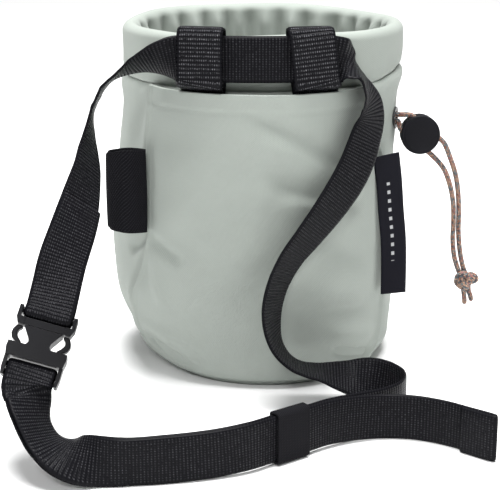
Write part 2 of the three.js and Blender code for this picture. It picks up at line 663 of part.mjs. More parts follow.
// The hidden part of the cord: round the channel, from one strand's inner end to the other's.
const CHANNEL_RING = BAG_RADIUS - 6;
const ringPoints = [exitAt(-3.6, CORD_SPREAD), exitAt(-5, CORD_SPREAD * 0.9)];
for (let degrees = EXIT_ANGLE + 10; degrees <= EXIT_ANGLE + 350; degrees += 17) {
  ringPoints.push(bagPoint(CHANNEL_RING, radians(degrees), EXIT_Z));
}
ringPoints.push(exitAt(-5, -CORD_SPREAD * 0.9), exitAt(-3.6, -CORD_SPREAD));
add("drawcord_channel_run", cord(ringPoints, CORD_RADIUS, 8), cordMix);

// The overhand knot that joins both ends, as its outer shape, and the cut ends below it.
const knot = new THREE.SphereGeometry(1, 16, 10);
knot.scale(5.2, 4.4, 5.6);
knot.translate(96.9, -20.2, 39.6);
add("drawcord_knot", knot, cordMix);

const endA = [vec(99, -19.4, 33.6), vec(99.8, -19.4, 31.5), vec(100.4, -19.4, 28.6)];
const endB = [vec(96.4, -21, 33.4), vec(96.8, -21, 30.5), vec(97, -21, 27.6)];
add("drawcord_end_a", cord(endA, CORD_RADIUS), cordMix);
add("drawcord_end_b", cord(endB, CORD_RADIUS), cordMix);

// ---------------------------------------------------------------- cord lock

const LOCK_RADIUS = 9.1;
const LOCK_WALL = 1.6;
const LOCK_FLOOR = -5.2;
const LOCK_MOUTH = 0.6; // height of the cup's open edge
const CAP_LOW = 2.5; // the button's cap travels from here to the cup's edge
const CAP_HIGH = 4.4;

// A disc or ring about the lock's axis, from a closed profile of [radius, z] points.
function turned(profile, steps = 28) {
  const points = [...profile, profile[0]].map(([r, z]) => new THREE.Vector2(r, z));
  return new THREE.LatheGeometry(points, steps).rotateX(Math.PI / 2);
}

const cup = turned([
  [0, LOCK_FLOOR],
  [LOCK_RADIUS - 1.4, LOCK_FLOOR],
  [LOCK_RADIUS - 0.3, LOCK_FLOOR + 1.2],
  [LOCK_RADIUS - 0.2, LOCK_MOUTH],
  [LOCK_RADIUS - LOCK_WALL, LOCK_MOUTH],
  [LOCK_RADIUS - LOCK_WALL, LOCK_FLOOR + 0.8],
  [0, LOCK_FLOOR + 0.8],
]);

// Each strand crosses the cup through a notch on both sides.
const NOTCH_HALF = CORD_RADIUS + 0.5;
function notch(y) {
  const box = new THREE.BoxGeometry(3 * LOCK_RADIUS, 2 * NOTCH_HALF, 4);
  return box.translate(0, y, 2 - NOTCH_HALF);
}
const lockBody = carve([cup], [notch(LANE), notch(-LANE)]);
add("cord_lock_body", lockBody.applyMatrix4(lockFrame), lockBlack);

// The button's plate sits behind the strands and pinches them when the spring pushes it out.
const PINCH_RADIUS = 6.9;
const PINCH_HIGH = -CORD_RADIUS - 0.3;
const PINCH_LOW = PINCH_HIGH - 0.8;
const POST_RADIUS = 2.2;
const button = turned([
  [0, PINCH_LOW],
  [PINCH_RADIUS, PINCH_LOW],
  [PINCH_RADIUS, PINCH_HIGH],
  [POST_RADIUS, PINCH_HIGH],
  [POST_RADIUS, CAP_LOW],
  [LOCK_RADIUS, CAP_LOW],
  [LOCK_RADIUS, CAP_HIGH - 0.6],
  [LOCK_RADIUS - 0.7, CAP_HIGH - 0.1],
  [LOCK_RADIUS - 2.5, CAP_HIGH],
  [0, CAP_HIGH],
]);
add("cord_lock_button", button.applyMatrix4(lockFrame), lockBlack);

// A flat conical spring between the cup's floor and the button's plate.
const SPRING_TURNS = 1.5;
const SPRING_STEPS = 24;
const springPoints = [];
for (let i = 0; i <= SPRING_STEPS; i++) {
  const t = i / SPRING_STEPS;
  const turn = t * SPRING_TURNS * 2 * Math.PI;
  const radius = mix(5.6, 3.6, t);
  const z = mix(LOCK_FLOOR + 1.35, PINCH_LOW - 0.55, t);
  springPoints.push(vec(radius * Math.cos(turn), radius * Math.sin(turn), z));
}
add("cord_lock_spring", cord(springPoints, 0.25, 1.2, 6).applyMatrix4(lockFrame), springSteel);

export default bag;
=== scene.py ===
"""The looks of a climber's chalk bag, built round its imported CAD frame.

Every shape is worked out in millimetres in the CAD frame and turned into metres where its mesh
is made. The bag's outline, the belt's route and the cords' routes repeat the CAD source.
"""

import math

import bmesh
import bpy
import numpy as np
from mathutils import Matrix, Vector


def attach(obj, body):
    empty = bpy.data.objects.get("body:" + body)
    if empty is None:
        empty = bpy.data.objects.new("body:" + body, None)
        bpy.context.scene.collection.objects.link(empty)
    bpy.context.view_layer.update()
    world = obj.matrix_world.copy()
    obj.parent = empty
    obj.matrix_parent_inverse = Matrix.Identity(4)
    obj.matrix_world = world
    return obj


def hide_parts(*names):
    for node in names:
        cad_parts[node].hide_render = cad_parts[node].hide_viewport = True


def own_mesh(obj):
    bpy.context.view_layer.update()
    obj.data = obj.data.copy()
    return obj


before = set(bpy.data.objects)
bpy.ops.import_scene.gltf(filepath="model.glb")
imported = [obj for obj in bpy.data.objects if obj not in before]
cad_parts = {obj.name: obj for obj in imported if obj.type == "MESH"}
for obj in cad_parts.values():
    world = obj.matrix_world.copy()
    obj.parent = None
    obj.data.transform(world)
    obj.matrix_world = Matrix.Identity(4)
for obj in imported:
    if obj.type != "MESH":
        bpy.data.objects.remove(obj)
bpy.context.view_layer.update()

MM = 0.001
BAG = "bag"
BAG_RADIUS = 64

# ------------ camera and light

CAMERA_AT = (-0.0056, -0.673, 0.244)
CAMERA_PITCH = 16  # degrees below the horizon
LENS = 103.3


def add_object(name, data):
    made = bpy.data.objects.new(name, data)
    bpy.context.scene.collection.objects.link(made)
    return made


camera_data = bpy.data.cameras.new("camera")
camera_data.lens = LENS
camera_data.sensor_width = 36
camera = add_object("camera", camera_data)
camera.location = CAMERA_AT
camera.rotation_euler = (math.radians(90 - CAMERA_PITCH), 0, 0)
bpy.context.scene.camera = camera
bpy.context.scene.view_settings.view_transform = "Standard"


def area_light(name, at, towards, size, watts):
    data = bpy.data.lights.new(name, "AREA")
    data.shape = "DISK"
    data.size = size
    data.energy = watts
    light = add_object(name, data)
    light.location = at
    way = Vector(towards) - Vector(at)
    light.rotation_euler = way.to_track_quat("-Z", "Y").to_euler()


area_light("key", (0.06, -0.05, 1.8), (0, 0, 0.06), 1.1, 70)
area_light("left_fill", (-1.5, -0.9, 0.7), (0, 0, 0.08), 0.7, 1)
area_light("front_fill", (-0.35, -1.6, 1.3), (0, 0, 0.08), 0.5, 12)

world = bpy.data.worlds.new("world")
world.use_nodes = True
world.node_tree.nodes["Background"].inputs["Color"].default_value = (1, 1, 1, 1)
world.node_tree.nodes["Background"].inputs["Strength"].default_value = 0.34
bpy.context.scene.world = world

# ------------ small helpers


def vec(*numbers):
    return np.array(numbers, float)


def unit(v):
    return v / np.maximum(np.linalg.norm(v, axis=-1, keepdims=True), 1e-12)


def mix(a, b, t):
    return a + (b - a) * t


def smooth_step(low, high, x):
    t = np.clip((x - low) / (high - low), 0, 1)
    return t * t * (3 - 2 * t)


def bump(x, middle, width):
    """1 at the middle, falling softly to 0."""
    return np.exp(-(((x - middle) / width) ** 2))


def fold(s, z, start, end, width, depth):
    """A straight crease from start to end in (s, z), with soft ends."""
    start, end = np.array(start, float), np.array(end, float)
    along = end - start
    length = np.linalg.norm(along)
    along = along / length
    half_way = math.pi * BAG_RADIUS
    ds = (s - start[0] + half_way) % (2 * half_way) - half_way
    dz = z - start[1]
    t = ds * along[0] + dz * along[1]
    off = ds * -along[1] + dz * along[0]
    ends = smooth_step(-0.25 * length, 0.2 * length, t)
    ends = ends * (1 - smooth_step(0.8 * length, 1.25 * length, t))
    return depth * np.exp(-((off / width) ** 2)) * ends


def soft_noise(s, z, pitch, seed):
    """Smooth waves in all directions, between about -1 and 1, that close round the bag."""
    random = np.random.default_rng(seed)
    total = np.zeros(np.broadcast(s, z).shape)
    for _ in range(9):
        angle = random.uniform(0, math.pi)
        stretch = random.uniform(0.7, 1.6)
        phase = random.uniform(0, 2 * math.pi)
        steep = 2 * math.pi / (pitch * stretch)
        turns = round(BAG_RADIUS * steep * math.cos(angle))
        total += np.sin(s / BAG_RADIUS * turns + z * steep * math.sin(angle) + phase)
    return total / 4.5


def grid_faces(rows, columns, close_columns=False):
    """Quads over a grid of points listed row by row."""
    c = np.arange(columns if close_columns else columns - 1)
    r, c = np.meshgrid(np.arange(rows - 1), c, indexing="ij")
    r, c = r.ravel(), c.ravel()
    c2 = (c + 1) % columns
    return np.stack(
        [r * columns + c, r * columns + c2, (r + 1) * columns + c2, (r + 1) * columns + c], 1)


def with_caps(faces, rows, columns):
    """The side faces of a tube, and one more face at each end."""
    first = list(range(columns))[::-1]
    last = [(rows - 1) * columns + k for k in range(columns)]
    return [*faces.tolist(), first, last]


def add_piece(name, mesh, body):
    piece = add_object(name, mesh)
    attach(piece, body)
    return piece


def dress(mesh, material):
    """Gives a mesh one material, in place of those it has."""
    mesh.materials.clear()
    mesh.materials.append(material)


def make_mesh(name, points, faces, material, uv=None, body=BAG):
    """A piece from points in millimetres. uv gives each point's place on its cloth, in mm."""
    mesh = bpy.data.meshes.new(name)
    points = np.asarray(points, float).reshape(-1, 3) * MM
    mesh.from_pydata(points.tolist(), [], [list(map(int, f)) for f in faces])
    if uv is not None:
        layer = mesh.uv_layers.new(name="cloth")
        corners = np.zeros(len(mesh.loops), np.int32)
        mesh.loops.foreach_get("vertex_index", corners)
        layer.data.foreach_set("uv", np.asarray(uv, float).reshape(-1, 2)[corners].ravel())
    built = bmesh.new()
    built.from_mesh(mesh)
    bmesh.ops.remove_doubles(built, verts=built.verts, dist=1e-7)
    bmesh.ops.recalc_face_normals(built, faces=built.faces)
    built.to_mesh(mesh)
    built.free()
    mesh.polygons.foreach_set("use_smooth", [True] * len(mesh.polygons))
    mesh.materials.append(material)
    mesh.update()
    return add_piece(name, mesh, body)


def cloth(name, points, material, uv, wall, offset=-1, body=BAG):
    """A sheet over a grid of points, with a wall. uv is two grids, as in make_mesh, or None."""
    faces = grid_faces(*points.shape[:2])
    places = None if uv is None else np.stack(uv, -1)
    piece = make_mesh(name, points, faces, material, places, body)
    solid = piece.modifiers.new("wall", "SOLIDIFY")
    solid.thickness = wall * MM
    solid.offset = offset
    return piece


def catmull_rom(points, where):
    """Points of a centripetal Catmull-Rom curve at where, from 0 to 1, spaced by point number."""
    points = np.asarray(points, float)
    last = len(points) - 1
    first_ghost = 2 * points[0] - points[1]
    last_ghost = 2 * points[-1] - points[-2]
    padded = np.vstack([first_ghost, points, last_ghost])
    place = np.clip(np.asarray(where, float), 0, 1) * last
    i = np.minimum(place.astype(int), last - 1)
    w = (place - i)[:, None]
    p0, p1, p2, p3 = (padded[i + k] for k in range(4))
    d0, d1, d2 = (
        np.linalg.norm(b - a, axis=1, keepdims=True) ** 0.5
        for a, b in ((p0, p1), (p1, p2), (p2, p3))
    )
    d1 = np.where(d1 < 1e-4, 1, d1)
    d0, d2 = (np.where(d < 1e-4, d1, d) for d in (d0, d2))
    t1 = ((p1 - p0) / d0 - (p2 - p0) / (d0 + d1) + (p2 - p1) / d1) * d1
    t2 = ((p2 - p1) / d1 - (p3 - p1) / (d1 + d2) + (p3 - p2) / d2) * d1
    c2 = -3 * p1 + 3 * p2 - 2 * t1 - t2
    c3 = 2 * p1 - 2 * p2 + t1 + t2
    return p1 + t1 * w + c2 * w**2 + c3 * w**3


def length_along(points):
    return np.concatenate([[0], np.cumsum(np.linalg.norm(np.diff(points, axis=0), axis=1))])


# ------------ materials


class Shader:
    """A Principled material with short calls for its nodes."""

    def __init__(self, name, color, roughness, **inputs):
        self.material = bpy.data.materials.new(name)
        self.material.use_nodes = True
        self.tree = self.material.node_tree
        self.bsdf = self.tree.nodes["Principled BSDF"]
        self.set("Base Color", (*color, 1))
        self.set("Roughness", roughness)
        for key, value in inputs.items():
            self.set(key.replace("_", " "), value)

    def fill(self, socket, value):
        if hasattr(value, "is_output"):
            self.tree.links.new(value, socket)
        else:
            socket.default_value = value

    def set(self, name, value):
        self.fill(self.bsdf.inputs[name], value)

    def node(self, kind, values=None, **settings):
        made = self.tree.nodes.new(kind)
        for key, value in settings.items():
            setattr(made, key, value)
        for key, value in (values or {}).items():
            self.fill(made.inputs[key], value)
        return made

    def math(self, operation, a, b=0.0, c=None):
        values = {0: a, 1: b} if c is None else {0: a, 1: b, 2: c}
        return self.node("ShaderNodeMath", values, operation=operation).outputs[0]

    def times(self, a, b):
        return self.math("MULTIPLY", a, b)

    def plus(self, a, b):
        return self.math("ADD", a, b)

    def wave(self, value, pitch):
        """A sine of a length in mm, from 0 to 1."""
        turned = self.math("MULTIPLY_ADD", value, 2 * math.pi / pitch, 0.0)
        return self.math("MULTIPLY_ADD", self.math("SINE", turned), 0.5, 0.5)

    def cloth_place(self):
        """The two places on the cloth, in mm."""
        uv = self.node("ShaderNodeUVMap", uv_map="cloth").outputs[0]
        both = self.node("ShaderNodeSeparateXYZ", {0: uv})
        return both.outputs[0], both.outputs[1]

    def noise(self, scale, detail=2.0, roughness=0.5):
        """Noise from 0 to 1. scale is in cycles per metre of object space."""
        place = self.node("ShaderNodeTexCoord").outputs["Object"]
        values = {"Vector": place, "Scale": scale, "Detail": detail, "Roughness": roughness}
        return self.node("ShaderNodeTexNoise", values).outputs["Fac"]

    def blend_colors(self, share, a, b):
        made = self.node("ShaderNodeMix", {"Factor": share}, data_type="RGBA")
        for socket, color in ((made.inputs[6], a), (made.inputs[7], b)):
            self.fill(socket, (*color, 1) if isinstance(color, tuple) else color)
        return made.outputs[2]

    def ramp(self, value, low, high):
        """0 below low, 1 above high."""
        values = {"Value": value, "From Min": low, "From Max": high}
        return self.node("ShaderNodeMapRange", values, clamp=True).outputs[0]

    def bump(self, height, distance, strength=1.0):
        """distance is the height of the relief, in mm."""
        values = {"Height": height, "Distance": distance * MM, "Strength": strength}
        self.set("Normal", self.node("ShaderNodeBump", values).outputs[0])


SAGE = (0.355, 0.388, 0.356)
SAGE_DARK = (0.292, 0.322, 0.295)


def sage_fabric(name, light=SAGE, dark=SAGE_DARK):
    """Fine coated twill: diagonal ribs under 1 mm, with slubs and a soft cloudiness."""
    made = Shader(name, light, 0.72, Sheen_Weight=0.08, Sheen_Roughness=0.4,
                  Specular_IOR_Level=0.3)
    u, v = made.cloth_place()
    diagonal = made.plus(u, made.times(v, 1.15))
    ribs = made.wave(diagonal, 0.95)
    threads = made.wave(made.math("SUBTRACT", u, v), 0.7)
    weave = made.math("MULTIPLY_ADD", ribs, 0.75, made.times(threads, 0.25))
    cloud = made.noise(26, 3)
    slubs = made.noise(900, 2)
    share = made.times(made.ramp(cloud, 0.3, 0.7), 0.35)
    share = made.plus(share, made.times(weave, 0.42))
    share = made.plus(share, made.times(slubs, 0.22))
    made.set("Base Color", made.blend_colors(share, dark, light))
    made.bump(weave, 0.11, 0.9)
    return made.material


WEBBING = 20.0
WEB_BLACK = (0.006, 0.006, 0.0075)


def webbing(name, relief, rib_highlight, rib=1.4, dots=1.05):
    """Black woven strap: ribs across it, broken into dots, between plain edges, with a painted
    highlight that lightens the raised dots.
    """
    made = Shader(name, WEB_BLACK, 0.7, Specular_IOR_Level=0.05)
    u, v = made.cloth_place()
    ribs = made.wave(v, rib)
    columns = made.wave(u, dots)
    inside = made.ramp(made.math("ABSOLUTE", u), WEBBING / 2 - 0.9, WEBBING / 2 - 1.5)
    cell = made.times(ribs, made.math("MULTIPLY_ADD", columns, 0.6, 0.4))
    grain = made.noise(1500, 1)
    shine = made.times(made.ramp(cell, 0.45, 1.0), made.ramp(grain, 0.35, 0.75))
    shine = made.times(shine, inside)
    # painted highlight: the raised rib dots are lightened, except near the strap's edges
    made.set("Base Color", made.blend_colors(shine, WEB_BLACK, rib_highlight))
    made.set("Roughness", made.ramp(cell, -0.6, 2.2))
    height = made.times(cell, inside)
    made.bump(height, relief, 0.9)
    return made.material


def elastic(name, pitch=0.95):
    """Black elastic tape: fine diagonal ribs, with a painted highlight on their crests."""
    made = Shader(name, (0.013, 0.013, 0.015), 0.75, Specular_IOR_Level=0.08)
    u, v = made.cloth_place()
    ribs = made.wave(made.plus(u, made.times(v, -0.55)), pitch)
    broken = made.wave(v, 0.8)
    height = made.times(ribs, made.math("MULTIPLY_ADD", broken, 0.35, 0.65))
    # painted highlight: the rib crests are lightened, the valleys keep the tape's black
    share = made.ramp(height, 0.55, 1.0)
    made.set("Base Color", made.blend_colors(share, (0.0045, 0.0045, 0.006), (0.022, 0.021, 0.025)))
    made.bump(height, 0.22, 0.9)
    return made.material


def moulded(name, color, roughness, grain=0.03, gloss=0.4):
    """Moulded plastic with a fine grain and uneven gloss."""
    made = Shader(name, color, roughness, Specular_IOR_Level=gloss)
    fine = made.noise(2600, 2)
    broad = made.noise(60, 2)
    made.set("Roughness", made.node(
        "ShaderNodeMapRange",
        {"Value": broad, "To Min": roughness - 0.07, "To Max": roughness + 0.08},
    ).outputs[0])
    edge = made.blend_colors(made.ramp(broad, 0.3, 0.8), color, tuple(1.5 * c for c in color))
    made.set("Base Color", edge)
    made.bump(fine, grain, 0.6)
    return made.material


def braid(name):
    """Cord braid: two sets of crossing yarns, each with a colour of its own, with painted shade in
    the grooves between them.
    """
    made = Shader(name, (0.3, 0.2, 0.16), 0.7, Sheen_Weight=0.2)
    u, v = made.cloth_place()  # u goes once round from 0 to 1, v along in mm
    turn = made.times(u, 8)
    rows = made.times(v, 1 / 1.15)
    right = made.plus(rows, turn)
    left = made.math("SUBTRACT", rows, turn)
    cell_a = made.math("FLOOR", right)
    cell_b = made.math("FLOOR", left)
    over = made.math("MODULO", made.math("ABSOLUTE", made.plus(cell_a, cell_b)), 2)
    place = made.node("ShaderNodeCombineXYZ", {0: cell_a, 1: cell_b}).outputs[0]
    pick = made.node("ShaderNodeTexWhiteNoise", {"Vector": place}, noise_dimensions="3D")
    ramp = made.node("ShaderNodeValToRGB", {"Fac": pick.outputs["Value"]})
    ramp.color_ramp.interpolation = "CONSTANT"
    yarns = [
        (0.0, (0.36, 0.21, 0.14)),
        (0.22, (0.27, 0.085, 0.04)),
        (0.36, (0.08, 0.105, 0.12)),
        (0.52, (0.42, 0.27, 0.19)),
        (0.68, (0.035, 0.035, 0.045)),
        (0.80, (0.28, 0.11, 0.1)),
        (0.90, (0.16, 0.18, 0.185)),
    ]
    elements = ramp.color_ramp.elements
    elements.remove(elements[1])
    elements[0].position, elements[0].color = yarns[0][0], (*yarns[0][1], 1)
    for position, color in yarns[1:]:
        elements.new(position).color = (*color, 1)
    groove_a = made.math("PINGPONG", right, 0.5)
    groove_b = made.math("PINGPONG", left, 0.5)
    height = made.math("MINIMUM", groove_a, groove_b)
    height = made.plus(height, made.times(over, 0.08))
    # painted shade: the grooves between the yarns are darkened towards near-black
    painted_groove_shade = made.ramp(height, 0.0, 0.22)
    made.set("Base Color", made.blend_colors(painted_groove_shade, (0.03, 0.025, 0.025), ramp.outputs[0]))
    made.bump(height, 0.35, 1.0)
    return made.material


sage = sage_fabric("sage_fabric")
sage_inner = sage_fabric("sage_fabric_inner", (0.36, 0.392, 0.36), (0.27, 0.30, 0.272))
belt_weave = webbing("belt_weave", relief=0.4, rib_highlight=(0.08, 0.08, 0.088))
loop_weave = webbing("loop_weave", rib=1.75, dots=0.95, relief=0.6, rib_highlight=(0.26, 0.26, 0.28))
elastic_twill = elastic("elastic_twill")
keeper_twill = elastic("keeper_twill", 0.7)
buckle_plastic = moulded("buckle_plastic", (0.003, 0.003, 0.004), 0.3, 0.02, 0.12)
lock_plastic = moulded("lock_plastic", (0.007, 0.007, 0.009), 0.5, 0.05, 0.09)
cord_braid = braid("cord_braid")

# ------------ cords

EXIT = vec(61.04, -17.50, 117.5)
EXIT_WAY = vec(0.961, -0.276, 0)
CORD_RADIUS = 1.2
CORD_SPREAD = 1.45

LOCK_MIDDLE = vec(73, -19, 110.3)
LOCK_AXIS = unit(vec(0.03, -0.995, 0.02))
LOCK_ALONG = vec(0.77, 0, -0.64)
LOCK_ALONG = unit(LOCK_ALONG - LOCK_AXIS * (LOCK_ALONG @ LOCK_AXIS))
LOCK_SIDE = np.cross(LOCK_AXIS, LOCK_ALONG)
LANE = 4
LANE_END = 11.5


def exit_at(out, up=0.0):
    return EXIT + EXIT_WAY * out + vec(0, 0, up)


def from_middle(middle, ways, x, y, z):
    """Places x, y and z along three ways from a middle. Each may be a number or an array."""
    x, y, z = (np.asarray(a, float)[..., None] for a in (x, y, z))
    return middle + ways[0] * x + ways[1] * y + ways[2] * z


def in_lock(x, y, z=0.0):
    return from_middle(LOCK_MIDDLE, (LOCK_ALONG, LOCK_SIDE, LOCK_AXIS), x, y, z)


def sweep(points, radius, sides=14, step=0.7, ends=True):
    """A round tube along points: its grid of points, their uv, and its middle line, in mm."""
    points = np.asarray(points, float)
    rough = catmull_rom(points, np.linspace(0, 1, 40 * len(points)))
    travelled = length_along(rough)
    count = max(3, int(travelled[-1] / step) + 1)
    at = np.linspace(0, travelled[-1], count)
    line = np.stack([np.interp(at, travelled, rough[:, k]) for k in range(3)], 1)
    along = unit(np.gradient(line, axis=0))
    side = unit(np.cross(along[0], vec(0.3, 0.2, 1)))
    rings = []
    for i in range(count):
        side = unit(side - along[i] * (side @ along[i]))
        other = np.cross(along[i], side)
        angle = np.linspace(0, 2 * math.pi, sides + 1)
        thin = 1.0
        if ends:
            from_end = min(at[i], at[-1] - at[i])
            thin = math.sqrt(max(0.12, min(1, from_end / (0.7 * radius))))
        ring = np.cos(angle)[:, None] * side + np.sin(angle)[:, None] * other
        rings.append(line[i] + ring * radius * thin)
    grid = np.array(rings)
    uv = np.stack(np.meshgrid(at, np.linspace(0, 1, sides + 1), indexing="ij")[::-1], 2)
    return grid, uv, line


def tube(name, points, radius, material):
    grid, uv, line = sweep(points, radius)
    faces = with_caps(grid_faces(*grid.shape[:2]), *grid.shape[:2])
    return make_mesh(name, grid, faces, material, uv), line


KNOT = vec(96.9, -20.2, 39.6)


def strand_start(side, out, before):
    """From inside the eyelet, through the lock in one of its two lanes, and out of it."""
    return [
        exit_at(-3, CORD_SPREAD * side), exit_at(0, CORD_SPREAD * side),
        exit_at(out, (CORD_SPREAD + 0.1) * side),
        *(in_lock(x, LANE * side) for x in (before, -4, 0, 6, LANE_END)),
    ]


strand_a_route = [
    *strand_start(1, 2.5, -8.5),
    (87.6, -19.5, 99), (90.4, -19.5, 91), (92, -19.5, 82), (92.7, -19.5, 72),
    (92.9, -19.5, 63), (93.9, -19.5, 54), (95.8, -19.5, 45.6),
    (98.2, -19.7, 39.6), (99, -19.4, 33.6), (99.8, -19.4, 31.5), (100.4, -19.4, 28.6),
]
strand_b_route = [
    *strand_start(-1, 2, -8.2),
    (84.6, -20, 94), (87.7, -21, 86.5), (89.5, -21.5, 78), (90, -21.8, 69),
    (90, -21.8, 60), (91, -21.5, 52), (93, -20.8, 45.6),
    (95.4, -20.9, 39.6), (96.4, -21, 33.4), (96.8, -21, 30.5), (97, -21, 27.6),
]
strand_a, line_a = tube("drawcord_a", strand_a_route, CORD_RADIUS, cord_braid)
strand_b, line_b = tube("drawcord_b", strand_b_route, CORD_RADIUS, cord_braid)
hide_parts("drawcord_strand_a", "drawcord_end_a")
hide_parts("drawcord_strand_b", "drawcord_end_b")

# The knot: three loops of cord, pulled tight round the strands.
knot_loops = []
for turn_at, lift, size in ((0.3, 0.5, 1.0), (1.35, -0.6, 0.97), (2.4, 0.0, 0.9)):
    t = np.linspace(0, 2 * math.pi, 15)[:-1]
    loop = np.stack([
        1.25 * (np.sin(t + turn_at) + 1.9 * np.sin(2 * t + turn_at)),
        1.05 * (np.cos(t + turn_at) - 1.9 * np.cos(2 * t + turn_at)) * 0.85,
        1.9 * np.sin(3 * t) + lift,
    ], 1) * size
    tilt = np.array(Matrix.Rotation(1.15 + 0.5 * turn_at, 3, "X") @ Matrix.Rotation(0.4, 3, "Y"))
    loop = loop @ tilt.T * vec(1.3, 0.95, 1.38)
    knot_loops.append(np.vstack([loop, loop[:1]]) + KNOT)
knot_points, knot_faces, knot_uv = [], [], []
for loop in knot_loops:
    grid, uv, _ = sweep(loop, CORD_RADIUS * 1.25, 12, 0.6, ends=False)
    base = sum(len(p) for p in knot_points)
    knot_faces += (grid_faces(*grid.shape[:2]) + base).tolist()
    knot_points.append(grid.reshape(-1, 3))
    knot_uv.append(uv.reshape(-1, 2))
knot = make_mesh(
    "drawcord_knot_tied", np.vstack(knot_points), knot_faces, cord_braid,
    np.vstack(knot_uv),
)
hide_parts("drawcord_knot")

# ------------ the bag's outline

COLLAR_Z = 138
RIM_Z = 161

# Height, then the half widths towards -X, +X, -Y and +Y.
OUTLINE = np.array([
    (0, 58, 55, 56, 56),
    (6, 65, 60.5, 60, 61),
    (17, 68, 62.5, 61.5, 63),
    (30, 70.5, 63.5, 62.5, 64.5),
    (50, 72, 64, 63, 65.5),
    (97, 68, 64, 63.5, 65.5),
    (118, 66, 63.5, 63.5, 65),
    (COLLAR_Z, 64.5, 65, 64, 64.5),
    (RIM_Z, 64.5, 65, 64.5, 64.5),
], float)


def rounded(table, x):
    """The table's columns at x, on smooth curves through its rows."""
    x = np.clip(np.asarray(x, float), table[0, 0], table[-1, 0])
    i = np.clip(np.searchsorted(table[:, 0], x, side="right") - 1, 0, len(table) - 2)
    slopes = np.gradient(table[:, 1:], table[:, 0], axis=0)
    step = (table[i + 1, 0] - table[i, 0])[..., None]
    t = ((x - table[i, 0])[..., None]) / step
    a, b = table[i, 1:], table[i + 1, 1:]
    low = (2 * t**3 - 3 * t**2 + 1) * a + (t**3 - 2 * t**2 + t) * step * slopes[i]
    high = (3 * t**2 - 2 * t**3) * b + (t**3 - t**2) * step * slopes[i + 1]
    return low + high


def corner_tuck(angle, z):
    """How far the seams draw in the bag's lower left, in front, as a share of its radius."""
    off = (np.degrees(angle) + 158 + 180) % 360 - 180
    return 0.15 * bump(off, 0, 38) * (1 - smooth_step(-6, 42, z))


def bag_point(radius, angle, z):
    """A profile radius, an angle round from +X in radians and a height, on the bag's outline."""
    radius, angle, z = np.broadcast_arrays(radius, angle, np.asarray(z, float))
    row = rounded(OUTLINE, z)
    c, s = np.cos(angle), np.sin(angle)
    x = c * np.where(c < 0, row[..., 0], row[..., 1])
    y = s * np.where(s < 0, row[..., 2], row[..., 3])
    share = radius / BAG_RADIUS * (1 - corner_tuck(angle, z))
    return np.stack([x * share, y * share, z], -1)


# Where the pocket's side seams run, in degrees round from +X: height, left seam, right seam.
SEAMS = np.array([
    (0, -146, -38),
    (7, -151, -35),
    (14, -155, -31.5),
    (22, -152, -29.5),
    (30, -149, -29.3),
    (40, -145, -29.6),
    (50, -140.5, -30.4),
    (58, -137.8, -31),
    (66, -136.6, -31.6),
    (84, -138, -32.4),
    (105, -139.5, -34),
    (120, -139.5, -40),
    (COLLAR_Z, -139, -46),
], float)


def angles_of(s):
    """Angle of a distance round the bag, measured from -Y, in mm at the profile radius."""
    return s / BAG_RADIUS - math.pi / 2


def round_grid(heights, count):
    """A grid of heights and distances round the whole bag, with the first column repeated."""
    s = np.linspace(-math.pi, math.pi, count + 1) * BAG_RADIUS
    return np.meshgrid(heights, s, indexing="ij")


def outward(angle):
    return np.stack([np.cos(angle), np.sin(angle), np.zeros_like(angle)], -1)


def right_side(start, full, s):
    """1 at the bag's right, from full on, and 0 in front, at its left and at its back."""
    return smooth_step(start, full, s) * (1 - smooth_step(120, 175, s))


def seam_rise(s):
    """How much higher the seam under the collar is pulled, at the bag's right."""
    return 4.2 * right_side(44, 92, s)


# ------------ the bag's shell

SHELL_WALL = 1.2
EXIT_ROUND = (90 - 16) / 57.3 * BAG_RADIUS  # the eyelet's distance round from -Y

# Creases of the shell: start and end as (distance round from -Y, height), width, depth.
SHELL_FOLDS = [
    ((-62, 132), (-72, 100), 6, -1.0),
    ((-58, 128), (-60, 98), 3, 0.8),
    ((-80, 60), (-60, 50), 5, -0.8),
    ((-52, 68), (-66, 58), 3, -2.6),
    ((-62, 52), (-72, 22), 4, 1.0),
    ((-84, 90), (-98, 30), 9, -1.0),
    ((60, 118), (70, 60), 5, -0.9),
    ((72, 128), (86, 108), 7, 1.0),
    ((64, 60), (74, 16), 4, -0.9),
    ((58, 44), (63, 6), 2.2, -2.6),
    ((66, 30), (64, 4), 2.5, 1.2),
    ((96, 100), (110, 40), 9, -1.0),
    ((120, 120), (150, 60), 11, 0.9),
    ((-120, 118), (-160, 50), 11, 0.9),
    ((170, 60), (200, 20), 9, -0.9),
]


def seam_puckers(s, z, at, reach, pitch, depth):
    """Short gathers that run down or up from a seam at a height."""
    waves = soft_noise(s, 0 * z, pitch, 5) + 0.4 * soft_noise(s, 0 * z, pitch * 0.45, 6)
    return depth * waves * np.exp(-np.abs(z - at) / reach)


def shell_relief(s, z):
    """How far the shell's face stands off the plain outline, in mm."""
    relief = 0.75 * soft_noise(s, z * 0.6, 62, 1) + 0.3 * soft_noise(s, z, 27, 2)
    for start, end, width, depth in SHELL_FOLDS:
        relief = relief + fold(s, z, start, end, width, depth)
    for side in (0, 1):
        seam = (np.radians(rounded(SEAMS, z)[..., side]) + math.pi / 2) * BAG_RADIUS
        relief = relief - 0.9 * bump(s - seam, 1.6 * (2 * side - 1), 1.8)
    relief = relief + seam_puckers(s, z, COLLAR_Z, 9, 15, 0.55)
    relief = relief + seam_puckers(s, z, 2, 7, 19, 0.7)
    relief = relief + 0.9 * bump(z, COLLAR_Z - 6, 5) * smooth_step(20, 75, np.abs(s))
    relief = relief + 0.8 * bump(z, COLLAR_Z - 5, 5) * right_side(50, 90, s)
    relief = relief - (1.2 + 0.9 * right_side(45, 75, s)) * bump(z, COLLAR_Z, 1.8)
    near_exit = bump(s, EXIT_ROUND, 14) * bump(z, EXIT[2], 12)
    return relief * (1 - 0.8 * near_exit) * smooth_step(0, 9, z)


